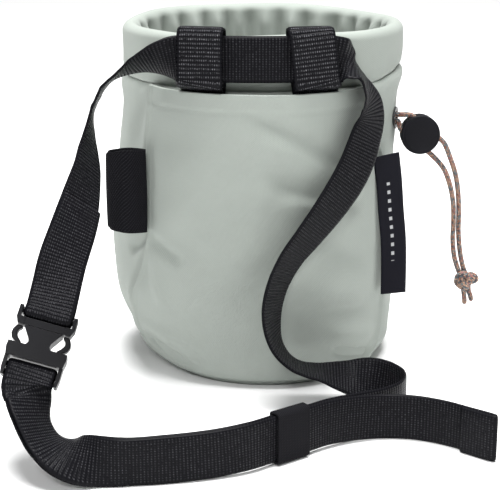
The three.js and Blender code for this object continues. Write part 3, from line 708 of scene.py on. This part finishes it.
shell_heights = np.concatenate([np.linspace(0, 8, 9), np.linspace(9.2, COLLAR_Z - 0.35, 108)])
z, s = round_grid(shell_heights, 360)
angle = angles_of(s)
points = bag_point(BAG_RADIUS, angle, z) + outward(angle) * shell_relief(s, z)[..., None]
points[..., 2] += seam_rise(s) * smooth_step(COLLAR_Z - 34, COLLAR_Z, z)
shell = cloth("shell_cloth", points, sage, (s, z), SHELL_WALL)
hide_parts("outer_shell")

# Base: a slightly domed disc with a stitched-in edge.
BASE_WALL = 1.6
base_rings = np.concatenate([np.linspace(0.02, 0.9, 16), [0.94, 0.965, 0.985]])
r, angle = np.meshgrid(base_rings, np.linspace(0, 2 * math.pi, 97), indexing="ij")
lift = 0.05 + 0.35 * (1 - r**2) + 0.7 * smooth_step(0.93, 0.99, r)
points = bag_point(r * BAG_RADIUS, angle, 0 * r)
points[..., 2] = lift
base = cloth(
    "base_cloth", points, sage, (points[..., 0], points[..., 1]), BASE_WALL)
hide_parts("base_panel")

# ------------ rim collar

COLLAR_DEPTH = 6.6
HALF_ROLL = COLLAR_DEPTH / 2
CHANNEL_LOW = 114
CHANNEL_TOP = 123.5
COLLAR_WALL = 0.8
OUTSIDE_ROWS = 18
ROLL_ROWS = 14

# How far the cloth inside the rim stands in: the pleats' height, their valleys' depth behind the
# plain wall, and the same for the channel, which stands in front of its cord.
PLEAT_HEIGHT, VALLEY_DEPTH = 5.0, 1.2
CHANNEL_STAND, CHANNEL_PLEATS = 2.3, 1.2

collar_profile = [(0, zz) for zz in np.linspace(COLLAR_Z + 0.2, RIM_Z - HALF_ROLL, OUTSIDE_ROWS)]
for turn in np.linspace(0, math.pi, ROLL_ROWS + 1)[1:]:
    inset = HALF_ROLL * (1 - math.cos(turn))
    collar_profile.append((inset, RIM_Z - HALF_ROLL + HALF_ROLL * math.sin(turn)))
collar_profile += [(COLLAR_DEPTH, zz) for zz in np.linspace(RIM_Z - HALF_ROLL - 1, CHANNEL_LOW, 32)]
collar_profile = np.array(collar_profile)
girth = length_along(collar_profile)

PLEATS = 27


def pleat_wave(s, z):
    """The gathers inside the rim, between 0 in a valley and 1 on a ridge."""
    turn = s / BAG_RADIUS
    wander = 0.35 * np.sin(3 * turn + 1) + 0.3 * np.sin(5 * turn + 2.2) + 0.2 * np.sin(11 * turn)
    lean = (RIM_Z - z) * 0.03 * np.sin(2 * turn + 0.6)
    phase = PLEATS * turn + 1.6 * wander + lean
    saw = np.arcsin(0.96 * np.sin(phase)) / np.arcsin(0.96)
    second = np.maximum(0, np.sin(2 * phase + 1.1)) * smooth_step(RIM_Z - 6, RIM_Z - 22, z)
    return (0.5 + 0.5 * saw) * (0.8 + 0.2 * np.sin(7 * turn + 0.4)) + 0.25 * second


i, s = round_grid(np.arange(len(collar_profile)), 540)
inset, z = collar_profile[i, 0], collar_profile[i, 1]
along_profile = girth[i]
angle = angles_of(s)
outside = inset < 0.01
inside = along_profile > girth[OUTSIDE_ROWS + ROLL_ROWS]
depth_in = smooth_step(RIM_Z + 1, RIM_Z - 10, z)
relief = 0.35 * soft_noise(s, along_profile, 44, 11) + 0.12 * soft_noise(s, along_profile, 17, 12)
relief = relief + seam_puckers(s, z, COLLAR_Z, 4, 12, 0.45) * outside
relief = relief - 0.9 * bump(z, COLLAR_Z, 1.5) * outside
relief = relief - 0.3 * bump(z, COLLAR_Z + 3.2, 0.7) * outside
pull = depth_in * smooth_step(2.2, COLLAR_DEPTH, inset)
pull = pull * (PLEAT_HEIGHT * pleat_wave(s, z) - VALLEY_DEPTH)
in_channel = 1 - smooth_step(CHANNEL_TOP - 4.5, CHANNEL_TOP, z)
pull = mix(pull, CHANNEL_STAND + CHANNEL_PLEATS * pleat_wave(s, z), in_channel)
rim_sway = 0.5 * np.sin(2 * s / BAG_RADIUS + 0.8) + 0.3 * np.sin(5 * s / BAG_RADIUS)
points = bag_point(BAG_RADIUS - inset - pull, angle, z)
points = points + outward(angle) * np.where(inside, 0.3 * relief, relief)[..., None]
points[..., 2] += rim_sway * smooth_step(RIM_Z - 12, RIM_Z, z) * np.where(inside, 0.4, 1) - 0.4
points[..., 2] += seam_rise(s) * (1 - smooth_step(COLLAR_Z, COLLAR_Z + 15, z)) * outside
collar = cloth(
    "collar_cloth", points, sage_inner, (s, along_profile), COLLAR_WALL, 0)
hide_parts("rim_collar", "closure_skirt")

# ------------ fleece lining

fleece = Shader("lining_fleece", (0.43, 0.48, 0.42), 0.95, Sheen_Weight=0.6)
fuzz = fleece.noise(700, 4, 0.7)
fleece.set("Base Color", fleece.blend_colors(
    fleece.ramp(fuzz, 0.3, 0.7), (0.35, 0.395, 0.345), (0.46, 0.51, 0.45)))
fleece.bump(fuzz, 0.6, 0.8)

FLEECE_FLOOR, FLEECE_TOP = 3.2, 118
FLEECE_INSET = 5.4
FLEECE_THICK = 1.4

lining_profile = [(inset, FLEECE_FLOOR) for inset in np.linspace(63.5, 12, 14)]
for turn in np.linspace(0.2, 1.4, 8):
    lining_profile.append((11 - 5.5 * math.sin(turn), 9 - 5.8 * math.cos(turn)))
lining_profile += [(FLEECE_INSET, zz) for zz in np.linspace(12, FLEECE_TOP, 60)]
lining_profile = np.array(lining_profile)
i, s = round_grid(np.arange(len(lining_profile)), 180)
inset, z = lining_profile[i, 0], lining_profile[i, 1]
relief = (0.6 * soft_noise(s, z, 40, 21) - 0.8) * smooth_step(50, 20, inset)
points = bag_point(BAG_RADIUS - inset + relief, angles_of(s), z)
floor_waves = soft_noise(points[..., 0], points[..., 1], 30, 22)
points[..., 2] += 0.5 * floor_waves * smooth_step(8, 20, inset)
lining = cloth(
    "lining_cloth", points, fleece.material, None, FLEECE_THICK, 0)
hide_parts("inner_lining")

# ------------ rear pocket

POCKET_LOW = 3
POCKET_WALL = 1.2
POCKET_GAPE = 7.2  # how far the open top stands off the bag
HEM_Z = COLLAR_Z - 8.3

# Creases of the pocket: start and end as (distance round from -Y, height), width, depth.
POCKET_FOLDS = [
    ((-4, 130), (38, 102), 5, -2.7),
    ((4, 118), (46, 92), 6, 2.2),
    ((6, 100), (40, 86), 5, -2.6),
    ((10, 90), (34, 84), 4, 1.6),
    ((-44, 118), (-6, 98), 9, -1.8),
    ((-30, 112), (-2, 92), 6, 1.4),
    ((-38, 84), (-6, 58), 9, 1.8),
    ((-34, 70), (0, 46), 8, -1.5),
    ((-50, 68), (-34, 60), 3, -2.4),
    ((-48, 62), (-43, 40), 3.5, 1.6),
    ((20, 74), (50, 56), 6, -2.0),
    ((8, 52), (48, 42), 7, 1.9),
    ((14, 40), (50, 34), 5, -1.6),
    ((-20, 40), (24, 30), 9, -1.4),
    ((36, 16), (60, 9), 3, -3.5),
    ((32, 26), (58, 20), 4, 1.9),
    ((-62, 16), (-34, 8), 3, -2.7),
    ((-64, 24), (-26, 17), 5, 1.6),
    ((-82, 8), (-70, 2), 1.6, -4.1),
    ((-68, 8), (-61, 1), 1.6, -3.5),
]


def pocket_surface(across, z, out):
    """A point of the pocket: across from 0 to 1, at a height, out in mm from its inner face."""
    seams = rounded(SEAMS, z)
    angle = np.radians(mix(seams[..., 0], seams[..., 1], across))
    s = (angle + math.pi / 2) * BAG_RADIUS
    swell = 1 - np.abs(2 * across - 1) ** 2.6
    stand = 0.5 + POCKET_GAPE * swell * (z / COLLAR_Z) ** 1.2
    width = np.radians(seams[..., 1] - seams[..., 0]) * BAG_RADIUS
    from_edge = np.minimum(across, 1 - across) * width
    relief = 0.6 * soft_noise(s, z * 0.8, 48, 31) + 0.22 * soft_noise(s, z, 20, 32)
    for start, end, fold_width, depth in POCKET_FOLDS:
        relief = relief + fold(s, z, start, end, fold_width, depth)
    relief = relief * smooth_step(0, 9, from_edge) * (1 - 0.5 * smooth_step(126, 136, z))
    relief = relief + 1.3 * bump(from_edge, 2.0, 1.2) - 1.1 * bump(from_edge, 0, 0.9)
    relief = relief + 0.25 * bump(from_edge, 4, 3) * soft_noise(z, 0 * s, 13, 33)
    relief = relief * smooth_step(-3, 8, z - POCKET_LOW)
    return bag_point(BAG_RADIUS, angle, z) + outward(angle) * (stand + out + relief)[..., None], s


pocket_heights = np.concatenate([
    np.linspace(POCKET_LOW, 12, 10), np.linspace(13.2, COLLAR_Z - 2.4, 100),
    COLLAR_Z - np.array([1.6, 0.9, 0.4]),
])
z, across = np.meshgrid(pocket_heights, np.linspace(0, 1, 141), indexing="ij")
hem = 0.35 * smooth_step(HEM_Z - 0.3, HEM_Z + 0.3, z) - 0.5 * bump(z, HEM_Z, 0.5)
outer, s = pocket_surface(across, z, POCKET_WALL + hem)
pocket = cloth("pocket_cloth", outer, sage, (s, z), POCKET_WALL)
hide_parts("rear_pocket_panel")

# ------------ straps

WEBBING_THICK = 1.3
LAYER = 0.875  # from the middle between two layers to the middle of one
STRAP_COLUMNS = 20
STANDING = WEBBING / 2 + 0.3


def route(rows):
    """Stations of a strap. A row has a place's x, y, z and the way across the strap there."""
    return [(vec(*row[:3]), unit(vec(*row[3:]))) for row in rows]


def offset(stations, distance):
    """The same stations, moved off the strap's face by a distance."""
    moved = []
    for i, (at, across) in enumerate(stations):
        before = stations[max(0, i - 1)][0]
        after = stations[min(len(stations) - 1, i + 1)][0]
        face = unit(np.cross(unit(after - before), across))
        moved.append((at + face * distance, across))
    return moved


class Strap:
    """The frames of a flat strap along its stations: middle line, direction across, and face."""

    def __init__(self, stations, step=1.0):
        middle = np.array([at for at, _ in stations])
        side = np.array([across for _, across in stations])
        dense = np.linspace(0, 1, 60 * len(stations))
        travelled = length_along(catmull_rom(middle, dense))
        self.length = travelled[-1]
        self.at = np.linspace(0, self.length, max(3, int(self.length / step) + 1))
        where = np.interp(self.at, travelled, dense)
        near = 2e-4
        self.middle = catmull_rom(middle, where)
        self.along = unit(catmull_rom(middle, where + near) - catmull_rom(middle, where - near))
        across = catmull_rom(side, where)
        across -= self.along * (across * self.along).sum(1, keepdims=True)
        self.across = unit(across)
        self.face = np.cross(self.along, self.across)

    def mesh(self, name, width, thick, material, slot):
        """A closed strap with rounded edges."""
        x = np.linspace(-1, 1, STRAP_COLUMNS + 1)
        half = 0.5 * thick * np.sqrt(np.maximum(0, 1 - np.abs(x) ** 9))
        edge_x = np.concatenate([x, x[-2:0:-1]]) * width / 2
        edge_y = np.concatenate([half, -half[-2:0:-1]])
        grid = (
            self.middle[:, None] + self.across[:, None] * edge_x[None, :, None]
            + self.face[:, None] * edge_y[None, :, None]
        )
        rows, count = len(self.at), len(edge_x)
        faces = with_caps(grid_faces(rows, count, close_columns=True), rows, count)
        uv = np.stack(np.broadcast_arrays(edge_x[None, :], self.at[:, None]), -1)
        return make_mesh(name, grid, faces, material, uv)


# Loops: distance out from the rear leg, height.
LOOP_PATH = [
    (0, 128), (0, 136), (0, 146), (0, 156), (0, 161.5), (0.9, 164.1), (3.4, 165.3), (5.9, 164.1),
    (7.2, 161.5), (7.9, 155), (8.4, 148), (8.4, 142.9), (7.3, 140.8), (4.4, 139.4), (2.3, 137.6),
    (1.8, 134.5), (1.75, 128),
]


def belt_loop(name, x, lean, sewn_y, belt_y, sewn_turn, belt_turn):
    stations = []
    for out, z in LOOP_PATH:
        rise = min(1, max(0, (z - COLLAR_Z) / 4))
        turn = math.radians(mix(sewn_turn, belt_turn, rise))
        away = vec(math.sin(turn), -math.cos(turn), 0)
        shift = lean * max(0, z - COLLAR_Z)
        at = vec(x - shift, mix(sewn_y, belt_y, rise), z) + away * out
        stations.append((at, vec(math.cos(turn), math.sin(turn), 0)))
    piece = Strap(stations, 0.6).mesh(
        f"{name}_webbing", WEBBING, WEBBING_THICK, loop_weave, "webbing")
    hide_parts(name)


belt_loop("belt_loop_left", -25.5, 0, -60.4, -63, -23, -11)
belt_loop("belt_loop_right", 22.2, 0.11, -61.5, -62.8, 20, 9)

# ------------ belt

BUCKLE_MIDDLE = vec(-90.2, -130, 46.1)
BUCKLE_ALONG = unit(vec(-0.25, -0.55, -0.797))
BUCKLE_FACE = unit(np.cross(BUCKLE_ALONG, vec(0.9535, -0.08, -0.29)))
BUCKLE_ACROSS = np.cross(BUCKLE_ALONG, BUCKLE_FACE)


def at_buckle(y, z, side):
    ways = (BUCKLE_ACROSS, BUCKLE_ALONG, BUCKLE_FACE)
    return from_middle(BUCKLE_MIDDLE, ways, 0, y, z), BUCKLE_ACROSS * side


def round_bar(bar_y, bar_radius, start, towards, side):
    """Half a turn of strap round a buckle bar."""
    radius = bar_radius + 0.3 + WEBBING_THICK / 2
    turns = [math.radians(30 * k) for k in range(7)]
    return [
        at_buckle(bar_y + towards * radius * math.sin(t), start * radius * math.cos(t), side)
        for t in turns
    ]


doubled_run = route([
    (-84.6, -117.5, 65.6, -0.95, 0.06, 0.3),
    (-82.3, -111, 75.8, -0.93, -0.2, 0.3),
    (-78.3, -103, 87.6, -0.84, -0.42, 0.34),
    (-75.6, -95.5, 96.5, -0.72, -0.6, 0.34),
])
upper_run = route([
    (-73.7, -85, 108.2, -0.46, -0.84, 0.28),
    (-73.4, -79.5, 115.1, -0.3, -0.92, 0.24),
    (-73.2, -75, 122.1, -0.1, -0.97, 0.22),
    (-72.9, -72, 127.6, 0.02, -0.98, 0.19),
    (-72.3, -69.5, 131.4, 0.06, -0.98, 0.2),
    (-70.4, -67, 136.1, 0.05, -0.97, 0.22),
    (-68.4, -65.2, 139.4, 0.05, -0.97, 0.22),
    (-65.2, -63.5, 142.7, 0.06, -0.98, 0.21),
    (-60.9, -62.3, 145.6, 0.06, -0.95, 0.31),
    (-56.7, -61.6, 147.7, 0.05, -0.89, 0.45),
    (-52.3, -61.8, 149.3, 0.07, -0.83, 0.56),
    (-47.7, -62.4, 150.5, 0.08, -0.72, 0.7),
    (-42.5, -63.5, 151.5, 0.05, -0.5, 0.86),
    (-36.9, -64.7, 152.1, 0, -0.12, 0.99),
    (-26, -66.7, 152.3, 0, 0, 1),
    (-14, -68.8, 152.3, 0, 0, 1),
    (-2, -69.5, 152.3, 0, 0, 1),
    (10, -68.8, 152.3, 0, 0, 1),
    (21, -66.8, 152.3, 0, 0, 1),
    (27, -64.9, 152.1, 0, 0, 1),
])
drop = route([
    (33, -63, 150.9, 0, 0.02, 1),
    (36.4, -62.2, 149.5, 0.03, 0.66, 0.75),
    (38.5, -61.9, 147.9, 0.04, 0.9, 0.42),
    (40.5, -61.5, 146.2, 0.06, 0.99, 0.12),
    (42.4, -61.1, 143.5, 0.1, 0.99, -0.02),
    (44.1, -60.4, 139.9, 0.2, 0.97, -0.1),
    (45.8, -59.5, 135.9, 0.35, 0.93, -0.13),
    (47, -58.8, 131.6, 0.5, 0.85, -0.16),
    (47.3, -58.5, 126.1, 0.6, 0.76, -0.25),
    (46.5, -59.2, 121.6, 0.65, 0.69, -0.31),
    (44.8, -60.8, 117, 0.69, 0.61, -0.38),
    (42.7, -62.8, 110.9, 0.7, 0.55, -0.46),
    (39.7, -65.2, 104, 0.68, 0.52, -0.52),
    (35.8, -67.6, 97.3, 0.64, 0.52, -0.57),
    (28.4, -71, 86.7, 0.57, 0.58, -0.58),
    (20.2, -73.5, 76.2, 0.52, 0.67, -0.54),
    (12.4, -75.5, 66.3, 0.5, 0.74, -0.44),
    (6.8, -77.5, 55.6, 0.5, 0.8, -0.3),
    (4.1, -78.8, 44.6, 0.47, 0.86, -0.15),
    (4.4, -79.8, 35.2, 0.36, 0.93, -0.02),
    (7.1, -80.2, 26.5, 0.18, 0.98, 0),
    (12.2, -80.5, 20.3, 0.02, 1, 0),
    (17.8, -80.3, 17.2, -0.05, 1, 0),
    (24.2, -80, 15.7, -0.04, 1, 0.06),
    (31.3, -79.6, 14, 0, 0.96, 0.28),
    (38.6, -79, 12.5, 0.03, 0.85, 0.52),
    (46.2, -78.5, 11.5, 0.05, 0.5, 0.86),
    (52.5, -78.2, 10.6, 0, 0.12, 0.99),
    (57, -80, STANDING, 0, 0, 1),
    (61.5, -90, STANDING, 0, 0, 1),
    (59, -101, STANDING, 0, 0, 1),
    (51, -109.5, STANDING, 0, 0, 1),
    (40, -116.3, 10.8, 0, 0, 1),
])
KEEPER_LIFT = 11.5
floor_run = route([
    (-93.8, -141.7, 29.5, 0.86, 0.42, -0.3),
    (-93.1, -145, 25.1, 0.71, 0.64, -0.3),
    (-91.4, -148.5, 20.6, 0.56, 0.78, -0.28),
    (-88.3, -152, 16.2, 0.52, 0.83, -0.2),
    (-83.8, -155.8, 13.2, 0.52, 0.85, 0),
    (-78.2, -158.8, 11.1, 0.4, 0.83, 0.38),
    (-71.6, -160.8, 10.4, 0.19, 0.6, 0.78),
    (-63.5, -162, STANDING, 0, 0.15, 0.99),
    (-55, -162.5, STANDING, 0, 0, 1),
    (-38, -160, STANDING, 0, 0, 1),
    (-19, -155.5, 10.8, 0, 0, 1),
    (-5.5, -150, KEEPER_LIFT, 0, 0, 1),
    (2.5, -144, KEEPER_LIFT, 0, 0, 1),
    (10.5, -138, KEEPER_LIFT, 0, 0, 1),
    (18.5, -132, KEEPER_LIFT, 0, 0, 1),
    (26.5, -126, KEEPER_LIFT, 0, 0, 1),
])
tail = route([
    (38, -120.8, 10.9, 0, 0, 1),
    (50, -117.5, STANDING, 0, 0, 1),
    (62, -118.5, STANDING, 0, 0, 1),
    (74, -123.8, STANDING, 0, 0, 1),
    (84, -131.4, STANDING, 0, 0, 1),
    (92.8, -138.6, STANDING, 0, 0, 1),
    (93.5, -139.7, STANDING, 0, 0, 1),
    (92.9, -140.4, STANDING, 0, 0, 1),
    (91.7, -140, STANDING, 0, 0, 1),
    (80.5, -130.8, STANDING, 0, 0, 1),
])
WEB_BAR_Y = -12.6
LADDER_BAR_Y = 10.2

belt_route = [
    *offset(doubled_run, LAYER)[::-1],
    at_buckle(-16.5, 1.9, 1),
    *round_bar(WEB_BAR_Y, 1.2, 1, 1, 1),
    at_buckle(-16.5, -1.9, 1),
    *offset(doubled_run, -LAYER),
    *upper_run,
    *drop,
    *offset(floor_run, -LAYER)[::-1],
    at_buckle(17.5, -1.8, -1),
    *round_bar(LADDER_BAR_Y, 1.1, -1, -1, -1),
    at_buckle(17.5, 1.8, -1),
    *offset(floor_run, LAYER),
    *tail,
]
belt = Strap(belt_route, 0.9)
belt_piece = belt.mesh("belt_strap", WEBBING, WEBBING_THICK, belt_weave, "webbing")
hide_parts("belt_webbing")

# ------------ tail keeper

KEEPER_MIDDLE = vec(10.5, -138, KEEPER_LIFT + 0.1)
KEEPER_ALONG = unit(vec(8, 6, 0))
KEEPER_OUT = unit(vec(6, -8, 0))  # out of the face towards -Y
KEEPER_LENGTH = 16.0
KEEPER_WALL = 0.9
keeper_section = []
half_y, half_z, corner = 3.05, 11.0, 1.7
for centre_y, centre_z, first in ((1, 1, 0), (-1, 1, 90), (-1, -1, 180), (1, -1, 270)):
    for degrees in range(0, 91, 15):
        t = math.radians(first + degrees)
        keeper_section.append((
            centre_y * (half_y - corner) + corner * math.cos(t),
            centre_z * (half_z - corner) + corner * math.sin(t),
        ))
keeper_ring = []
for k, (y0, z0) in enumerate(keeper_section):
    y1, z1 = keeper_section[(k + 1) % len(keeper_section)]
    steps = max(1, int(math.hypot(y1 - y0, z1 - z0)))
    keeper_ring += [(mix(y0, y1, j / steps), mix(z0, z1, j / steps)) for j in range(steps)]
keeper_ring = np.array(keeper_ring + keeper_ring[:1])
round_it = length_along(keeper_ring)
along = np.linspace(-KEEPER_LENGTH / 2, KEEPER_LENGTH / 2, 33)
a, k = np.meshgrid(along, np.arange(len(keeper_ring)), indexing="ij")
edge_pull = 0.3 * np.abs(a / (KEEPER_LENGTH / 2)) ** 6
waist = 1 - 0.02 * edge_pull + 0.004 * np.sin(a * 0.9)
points = (
    KEEPER_MIDDLE + KEEPER_ALONG * a[..., None]
    + KEEPER_OUT * (keeper_ring[k, 0] * waist)[..., None]
    + vec(0, 0, 1) * (keeper_ring[k, 1])[..., None]
)
points[..., 2] = np.maximum(points[..., 2], 0.12)
keeper = cloth("keeper_elastic", points, keeper_twill, (round_it[k], a),
               KEEPER_WALL, body="tail_keeper")
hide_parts("tail_keeper")

# ------------ brush loop

BRUSH_LOW = 71.5
BRUSH_HIGH = 109.5
BRUSH_MIDDLE = vec(-60.8, -49.3, 0)
BRUSH_TURN = math.radians(-6)
BRUSH_HALF_LENGTH, BRUSH_HALF_DEPTH = 9.0, 4.7
BRUSH_ROUND = 7.0  # mm of tape for each radian round the loop
BRUSH_WALL = 1.1
v, t = np.meshgrid(np.linspace(0, 1, 45), np.linspace(0, 2 * math.pi, 97), indexing="ij")
z = mix(BRUSH_LOW, BRUSH_HIGH, v)
x = BRUSH_HALF_LENGTH * np.sign(np.cos(t)) * np.abs(np.cos(t)) ** 0.8
y = BRUSH_HALF_DEPTH * np.sin(t) * (0.72 - 0.28 * np.cos(t))
left_side = smooth_step(2, -9, x)
z = z - 0.9 * left_side * smooth_step(0.9, 1, v) + 1.2 * left_side * smooth_step(0.1, 0, v)
end_round = smooth_step(0.06, 0, v) + smooth_step(0.94, 1, v)
x = x * (1 + 0.03 * np.sin(math.pi * v)) + 1.1 * end_round * left_side
long_way = vec(math.cos(BRUSH_TURN), math.sin(BRUSH_TURN), 0)
deep_way = vec(-math.sin(BRUSH_TURN), math.cos(BRUSH_TURN), 0)
points = from_middle(BRUSH_MIDDLE, (long_way, deep_way, vec(0, 0, 1)), x, y, z)
brush = cloth(
    "brush_elastic", points, elastic_twill, (t * BRUSH_ROUND, z), BRUSH_WALL)
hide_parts("brush_loop")

# ------------ side label

LABEL_WIDTH, LABEL_THICK = 12.5, 0.7
LABEL_BLACK = (0.004, 0.004, 0.008)


def satin(name):
    """Black woven satin with one column of plain dashes."""
    made = Shader(name, LABEL_BLACK, 0.55, Specular_IOR_Level=0.1)
    u, v = made.cloth_place()
    inside = made.ramp(made.math("ABSOLUTE", made.plus(u, 0.6)), 0.8, 0.65)
    dashes = made.times(made.ramp(made.wave(v, 4.2), 0.62, 0.7), inside)
    from_middle_row = made.math("ABSOLUTE", made.math("SUBTRACT", v, 32.0))
    dashes = made.times(dashes, made.ramp(from_middle_row, 19.0, 18.8))
    dashes = made.times(dashes, 0.8)
    made.set("Base Color", made.blend_colors(dashes, LABEL_BLACK, (0.5, 0.51, 0.52)))
    made.bump(made.wave(v, 0.42), 0.05, 0.6)
    return made.material


label = Strap(route([
    (55.4, -43.9, 105.6, 1, 0.25, 0.05),
    (57.2, -42.2, 93.3, 1, 0.28, 0.03),
    (58.6, -41, 79, 1, 0.3, 0.02),
    (60.1, -40.2, 65, 1, 0.3, 0),
    (60.6, -40.2, 51.5, 1, 0.3, -0.03),
    (60.7, -40.5, 39.5, 1, 0.3, -0.06),
]), 0.8)
label_piece = label.mesh("label_tag", LABEL_WIDTH, LABEL_THICK, satin("label_satin"), "label_satin")
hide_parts("side_label")

# ------------ moulded pieces


SHARP_EDGE = 32  # degrees: edges that turn further are rounded


def moulded_copy(name, node, body, material, radius, segments=3, close=None):
    """A CAD node's shape with its edges rounded, as a moulding has them.

    close is the place along the buckle of an edge beside a strap, and how far to move it there.
    """
    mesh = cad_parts[node].data.copy()
    mesh.name = name
    if close:
        for vertex in mesh.vertices:
            along = (np.array(vertex.co) / MM - BUCKLE_MIDDLE) @ BUCKLE_ALONG
            if abs(along - close[0]) < 0.25:
                vertex.co += Vector(BUCKLE_ALONG * close[1] * MM)
    built = bmesh.new()
    built.from_mesh(mesh)
    bmesh.ops.remove_doubles(built, verts=built.verts, dist=2e-6)
    bmesh.ops.dissolve_limit(
        built, angle_limit=math.radians(1.5), verts=built.verts, edges=built.edges)
    built.to_mesh(mesh)
    built.free()
    dress(mesh, material)
    mesh.polygons.foreach_set("use_smooth", [True] * len(mesh.polygons))
    piece = add_piece(name, mesh, body)
    bevel = piece.modifiers.new("edges", "BEVEL")
    bevel.width = radius * MM
    bevel.segments = segments
    bevel.limit_method = "ANGLE"
    bevel.angle_limit = math.radians(SHARP_EDGE)
    bevel.use_clamp_overlap = True
    normals = piece.modifiers.new("normals", "WEIGHTED_NORMAL")
    normals.keep_sharp = True
    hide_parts(node)


moulded_copy("buckle_male_moulding", "buckle_male", BAG, buckle_plastic, 0.7,
             close=(-8.3, -1.2))
moulded_copy("buckle_female_moulding", "buckle_female", BAG, buckle_plastic,
             0.9, 4, close=(6.7, 0.55))
for side in ("left", "right"):
    moulded_copy(f"buckle_arm_{side}_moulding", f"buckle_arm_{side}", f"buckle_arm_{side}",
                 buckle_plastic, 0.4)

# ------------ cord lock

R = 9.1  # the button's radius


def lathe(name, profile, place, material, body):
    """A turned piece from a closed profile of (radius, height), placed by place(x, y, z)."""
    profile = np.array(profile + profile[:1], float)
    angle = np.linspace(0, 2 * math.pi, 97)
    r, a = np.meshgrid(profile[:, 0], angle, indexing="ij")
    h, _ = np.meshgrid(profile[:, 1], angle, indexing="ij")
    points = place(r * np.cos(a), r * np.sin(a), h)
    return make_mesh(name, points, grid_faces(*r.shape), material, body=body)


button_profile = [
    (0, -2.3), (6.7, -2.3), (6.9, -2.1), (6.9, -1.7), (6.7, -1.5), (2.4, -1.5), (2.2, -1.3),
    (2.2, 2.3), (2.4, 2.5), (R - 0.5, 2.5), (R - 0.1, 2.65), (R, 3.0), (R, 3.6), (R - 0.15, 4.0),
    (R - 0.5, 4.25), (R - 1.0, 4.3), (R - 1.15, 4.22), (R - 1.4, 4.22), (R - 1.6, 4.32),
    (R - 2.5, 4.4), (0, 4.42),
]
button = lathe("cord_lock_button_cap", button_profile, in_lock, lock_plastic,
               "cord_lock_button")
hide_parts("cord_lock_button")
moulded_copy("cord_lock_cup", "cord_lock_body", "cord_lock", lock_plastic, 0.3)

# ------------ eyelet and hidden nodes

eyelet_metal = moulded("eyelet_black", (0.02, 0.02, 0.022), 0.35)

hoop_plastic = moulded("hoop_plastic", (0.62, 0.62, 0.6), 0.5)
spring_steel = Shader("spring_steel", (0.6, 0.6, 0.62), 0.3, Metallic=1.0)
drawn = spring_steel.noise(3000, 1)
spring_steel.bump(drawn, 0.02, 0.4)
inner_cord = Shader("cord_braid_inner", (0.28, 0.19, 0.15), 0.7)
yarn = inner_cord.noise(1400, 2)
inner_cord.set("Base Color", inner_cord.blend_colors(
    inner_cord.ramp(yarn, 0.4, 0.6), (0.12, 0.12, 0.13), (0.45, 0.28, 0.2)))
inner_cord.bump(yarn, 0.2, 0.8)
spring_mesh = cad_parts["cord_lock_spring"].data.copy()
dress(spring_mesh, spring_steel.material)
spring = add_piece("lock_spring_wire", spring_mesh, "cord_lock")
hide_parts("cord_lock_spring")
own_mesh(spring)
for node, material in (
    ("drawcord_eyelet", eyelet_metal),
    ("rim_hoop", hoop_plastic),
    ("drawcord_channel_run", inner_cord.material),
):
    dress(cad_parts[node].data, material)

# ------------ floor

floor_shader = Shader("floor_paper", (0.93, 0.93, 0.93), 0.9)
floor_grain = floor_shader.noise(40, 2)
floor_shader.bump(floor_grain, 0.02, 0.1)
bpy.ops.mesh.primitive_plane_add(size=12, location=(0, 0, 0))
floor = bpy.context.active_object
floor.name = "floor"
floor.data.materials.append(floor_shader.material)
